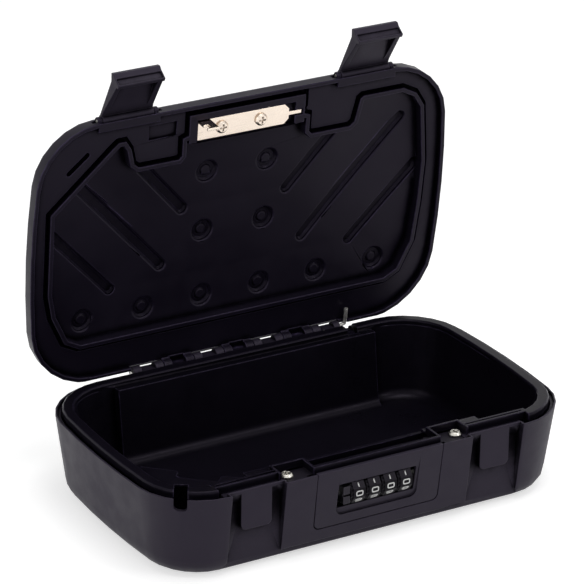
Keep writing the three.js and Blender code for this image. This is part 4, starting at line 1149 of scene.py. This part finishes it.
class SAFE_OT_stage(bpy.types.Operator):
    """Set the floor, the soft light and the camera"""

    bl_idname = "car_safe.stage"
    bl_label = "Studio"

    def execute(self, context):
        scene = context.scene
        studio = scene.safe_studio
        side_size = (0.45, 0.6)
        right_level = 0.8 * studio.side_level
        self.floor()
        self.world(scene, studio)
        soft_box("left box", place=(-0.9, -0.25, 0.4), size=side_size, watts=studio.side_level)
        soft_box("right box", place=(0.85, 0.2, 0.45), size=side_size, watts=right_level)
        soft_box("top box", place=(0.05, -0.12, 1.0), size=(0.6, 0.4), watts=studio.top_level)
        soft_box("front box", place=(0.5, -0.7, 0.75), size=(0.3, 0.3), watts=studio.front_level)
        self.camera(scene, studio)
        scene.view_settings.view_transform = "Standard"
        return {"FINISHED"}

    def floor(self):
        """A large white floor just under the safe."""
        bm = bmesh.new()
        bmesh.ops.create_grid(bm, x_segments=2, y_segments=2, size=4.0)
        mesh = mesh_from(bm, "floor")
        floor = linked_object("floor", mesh)
        floor.location.z = -0.02 * MM
        material = bpy.data.materials.new("White floor")
        tree = cleared_tree(material)
        output = tree.nodes.new("ShaderNodeOutputMaterial")
        white = tree.nodes.new("ShaderNodeBsdfDiffuse")
        white.inputs["Color"].default_value = (0.8, 0.8, 0.8, 1.0)
        white_for_the_camera(tree, white.outputs["BSDF"], output, level=0.6)
        mesh.materials.append(material)

    def world(self, scene, studio):
        """A white surround that looks brighter than the light that it gives."""
        world = bpy.data.worlds.new("White studio")
        scene.world = world
        tree = cleared_tree(world)
        output = tree.nodes.new("ShaderNodeOutputWorld")
        sky = tree.nodes.new("ShaderNodeBackground")
        sky.inputs["Color"].default_value = (1.0, 1.0, 1.0, 1.0)
        strength = map_range(tree, seen_by_camera(tree), 0.0, 1.0, studio.world_level, 1.0)
        tree.links.new(strength, sky.inputs["Strength"])
        tree.links.new(sky.outputs["Background"], output.inputs["Surface"])

    def camera(self, scene, studio):
        """A camera at a distance from its target, from the angles of the settings."""
        azimuth, elevation, roll = studio.azimuth, studio.elevation, studio.roll
        back = Vector(
            (
                math.sin(azimuth) * math.cos(elevation),
                -math.cos(azimuth) * math.cos(elevation),
                math.sin(elevation),
            )
        )
        right = Vector((math.cos(azimuth), math.sin(azimuth), 0.0))
        up = back.cross(right)
        right, up = (
            right * math.cos(roll) + up * math.sin(roll),
            up * math.cos(roll) - right * math.sin(roll),
        )
        data = bpy.data.cameras.new("camera")
        data.sensor_width = 36.0
        data.lens = studio.lens_pixels * data.sensor_width / PICTURE_SIDE
        data.clip_start, data.clip_end = 0.05, 20.0
        camera = linked_object("camera", data)
        place = Matrix((right, up, back)).transposed().to_4x4()
        place.translation = Vector(studio.target) + back * studio.distance
        camera.matrix_world = place
        scene.camera = camera


PIECES = (
    SAFE_OT_tub,
    SAFE_OT_liner,
    SAFE_OT_panel,
    SAFE_OT_lock,
    SAFE_OT_wheels,
    SAFE_OT_slide,
    SAFE_OT_screws,
    SAFE_OT_lid,
    SAFE_OT_strike,
    SAFE_OT_latches,
    SAFE_OT_pins,
    SAFE_OT_stage,
)


class SAFE_PT_panel(bpy.types.Panel):
    """Lists the pieces of the safe and their settings"""

    bl_idname = "SAFE_PT_panel"
    bl_label = "Car safe"
    bl_space_type = "VIEW_3D"
    bl_region_type = "UI"
    bl_category = "Car safe"

    def draw(self, context):
        for operator in PIECES:
            self.layout.operator(operator.bl_idname)
        for group in SETTINGS:
            box = self.layout.box()
            for name in SETTINGS[group].__annotations__:
                box.prop(getattr(context.scene, group), name)


SETTINGS = {
    "safe_mouldings": MouldingSettings,
    "safe_wheels": WheelSettings,
    "safe_metals": MetalSettings,
    "safe_studio": StudioSettings,
}


def register():
    for group, settings in SETTINGS.items():
        bpy.utils.register_class(settings)
        setattr(bpy.types.Scene, group, bpy.props.PointerProperty(type=settings))
    for cls in (*PIECES, SAFE_PT_panel):
        bpy.utils.register_class(cls)


def unregister():
    for cls in reversed((*PIECES, SAFE_PT_panel)):
        bpy.utils.unregister_class(cls)
    for group, settings in SETTINGS.items():
        delattr(bpy.types.Scene, group)
        bpy.utils.unregister_class(settings)


def main():
    register()
    for operator in PIECES:
        group, name = operator.bl_idname.split(".")
        getattr(getattr(bpy.ops, group), name)()


if __name__ == "__main__":
    main()
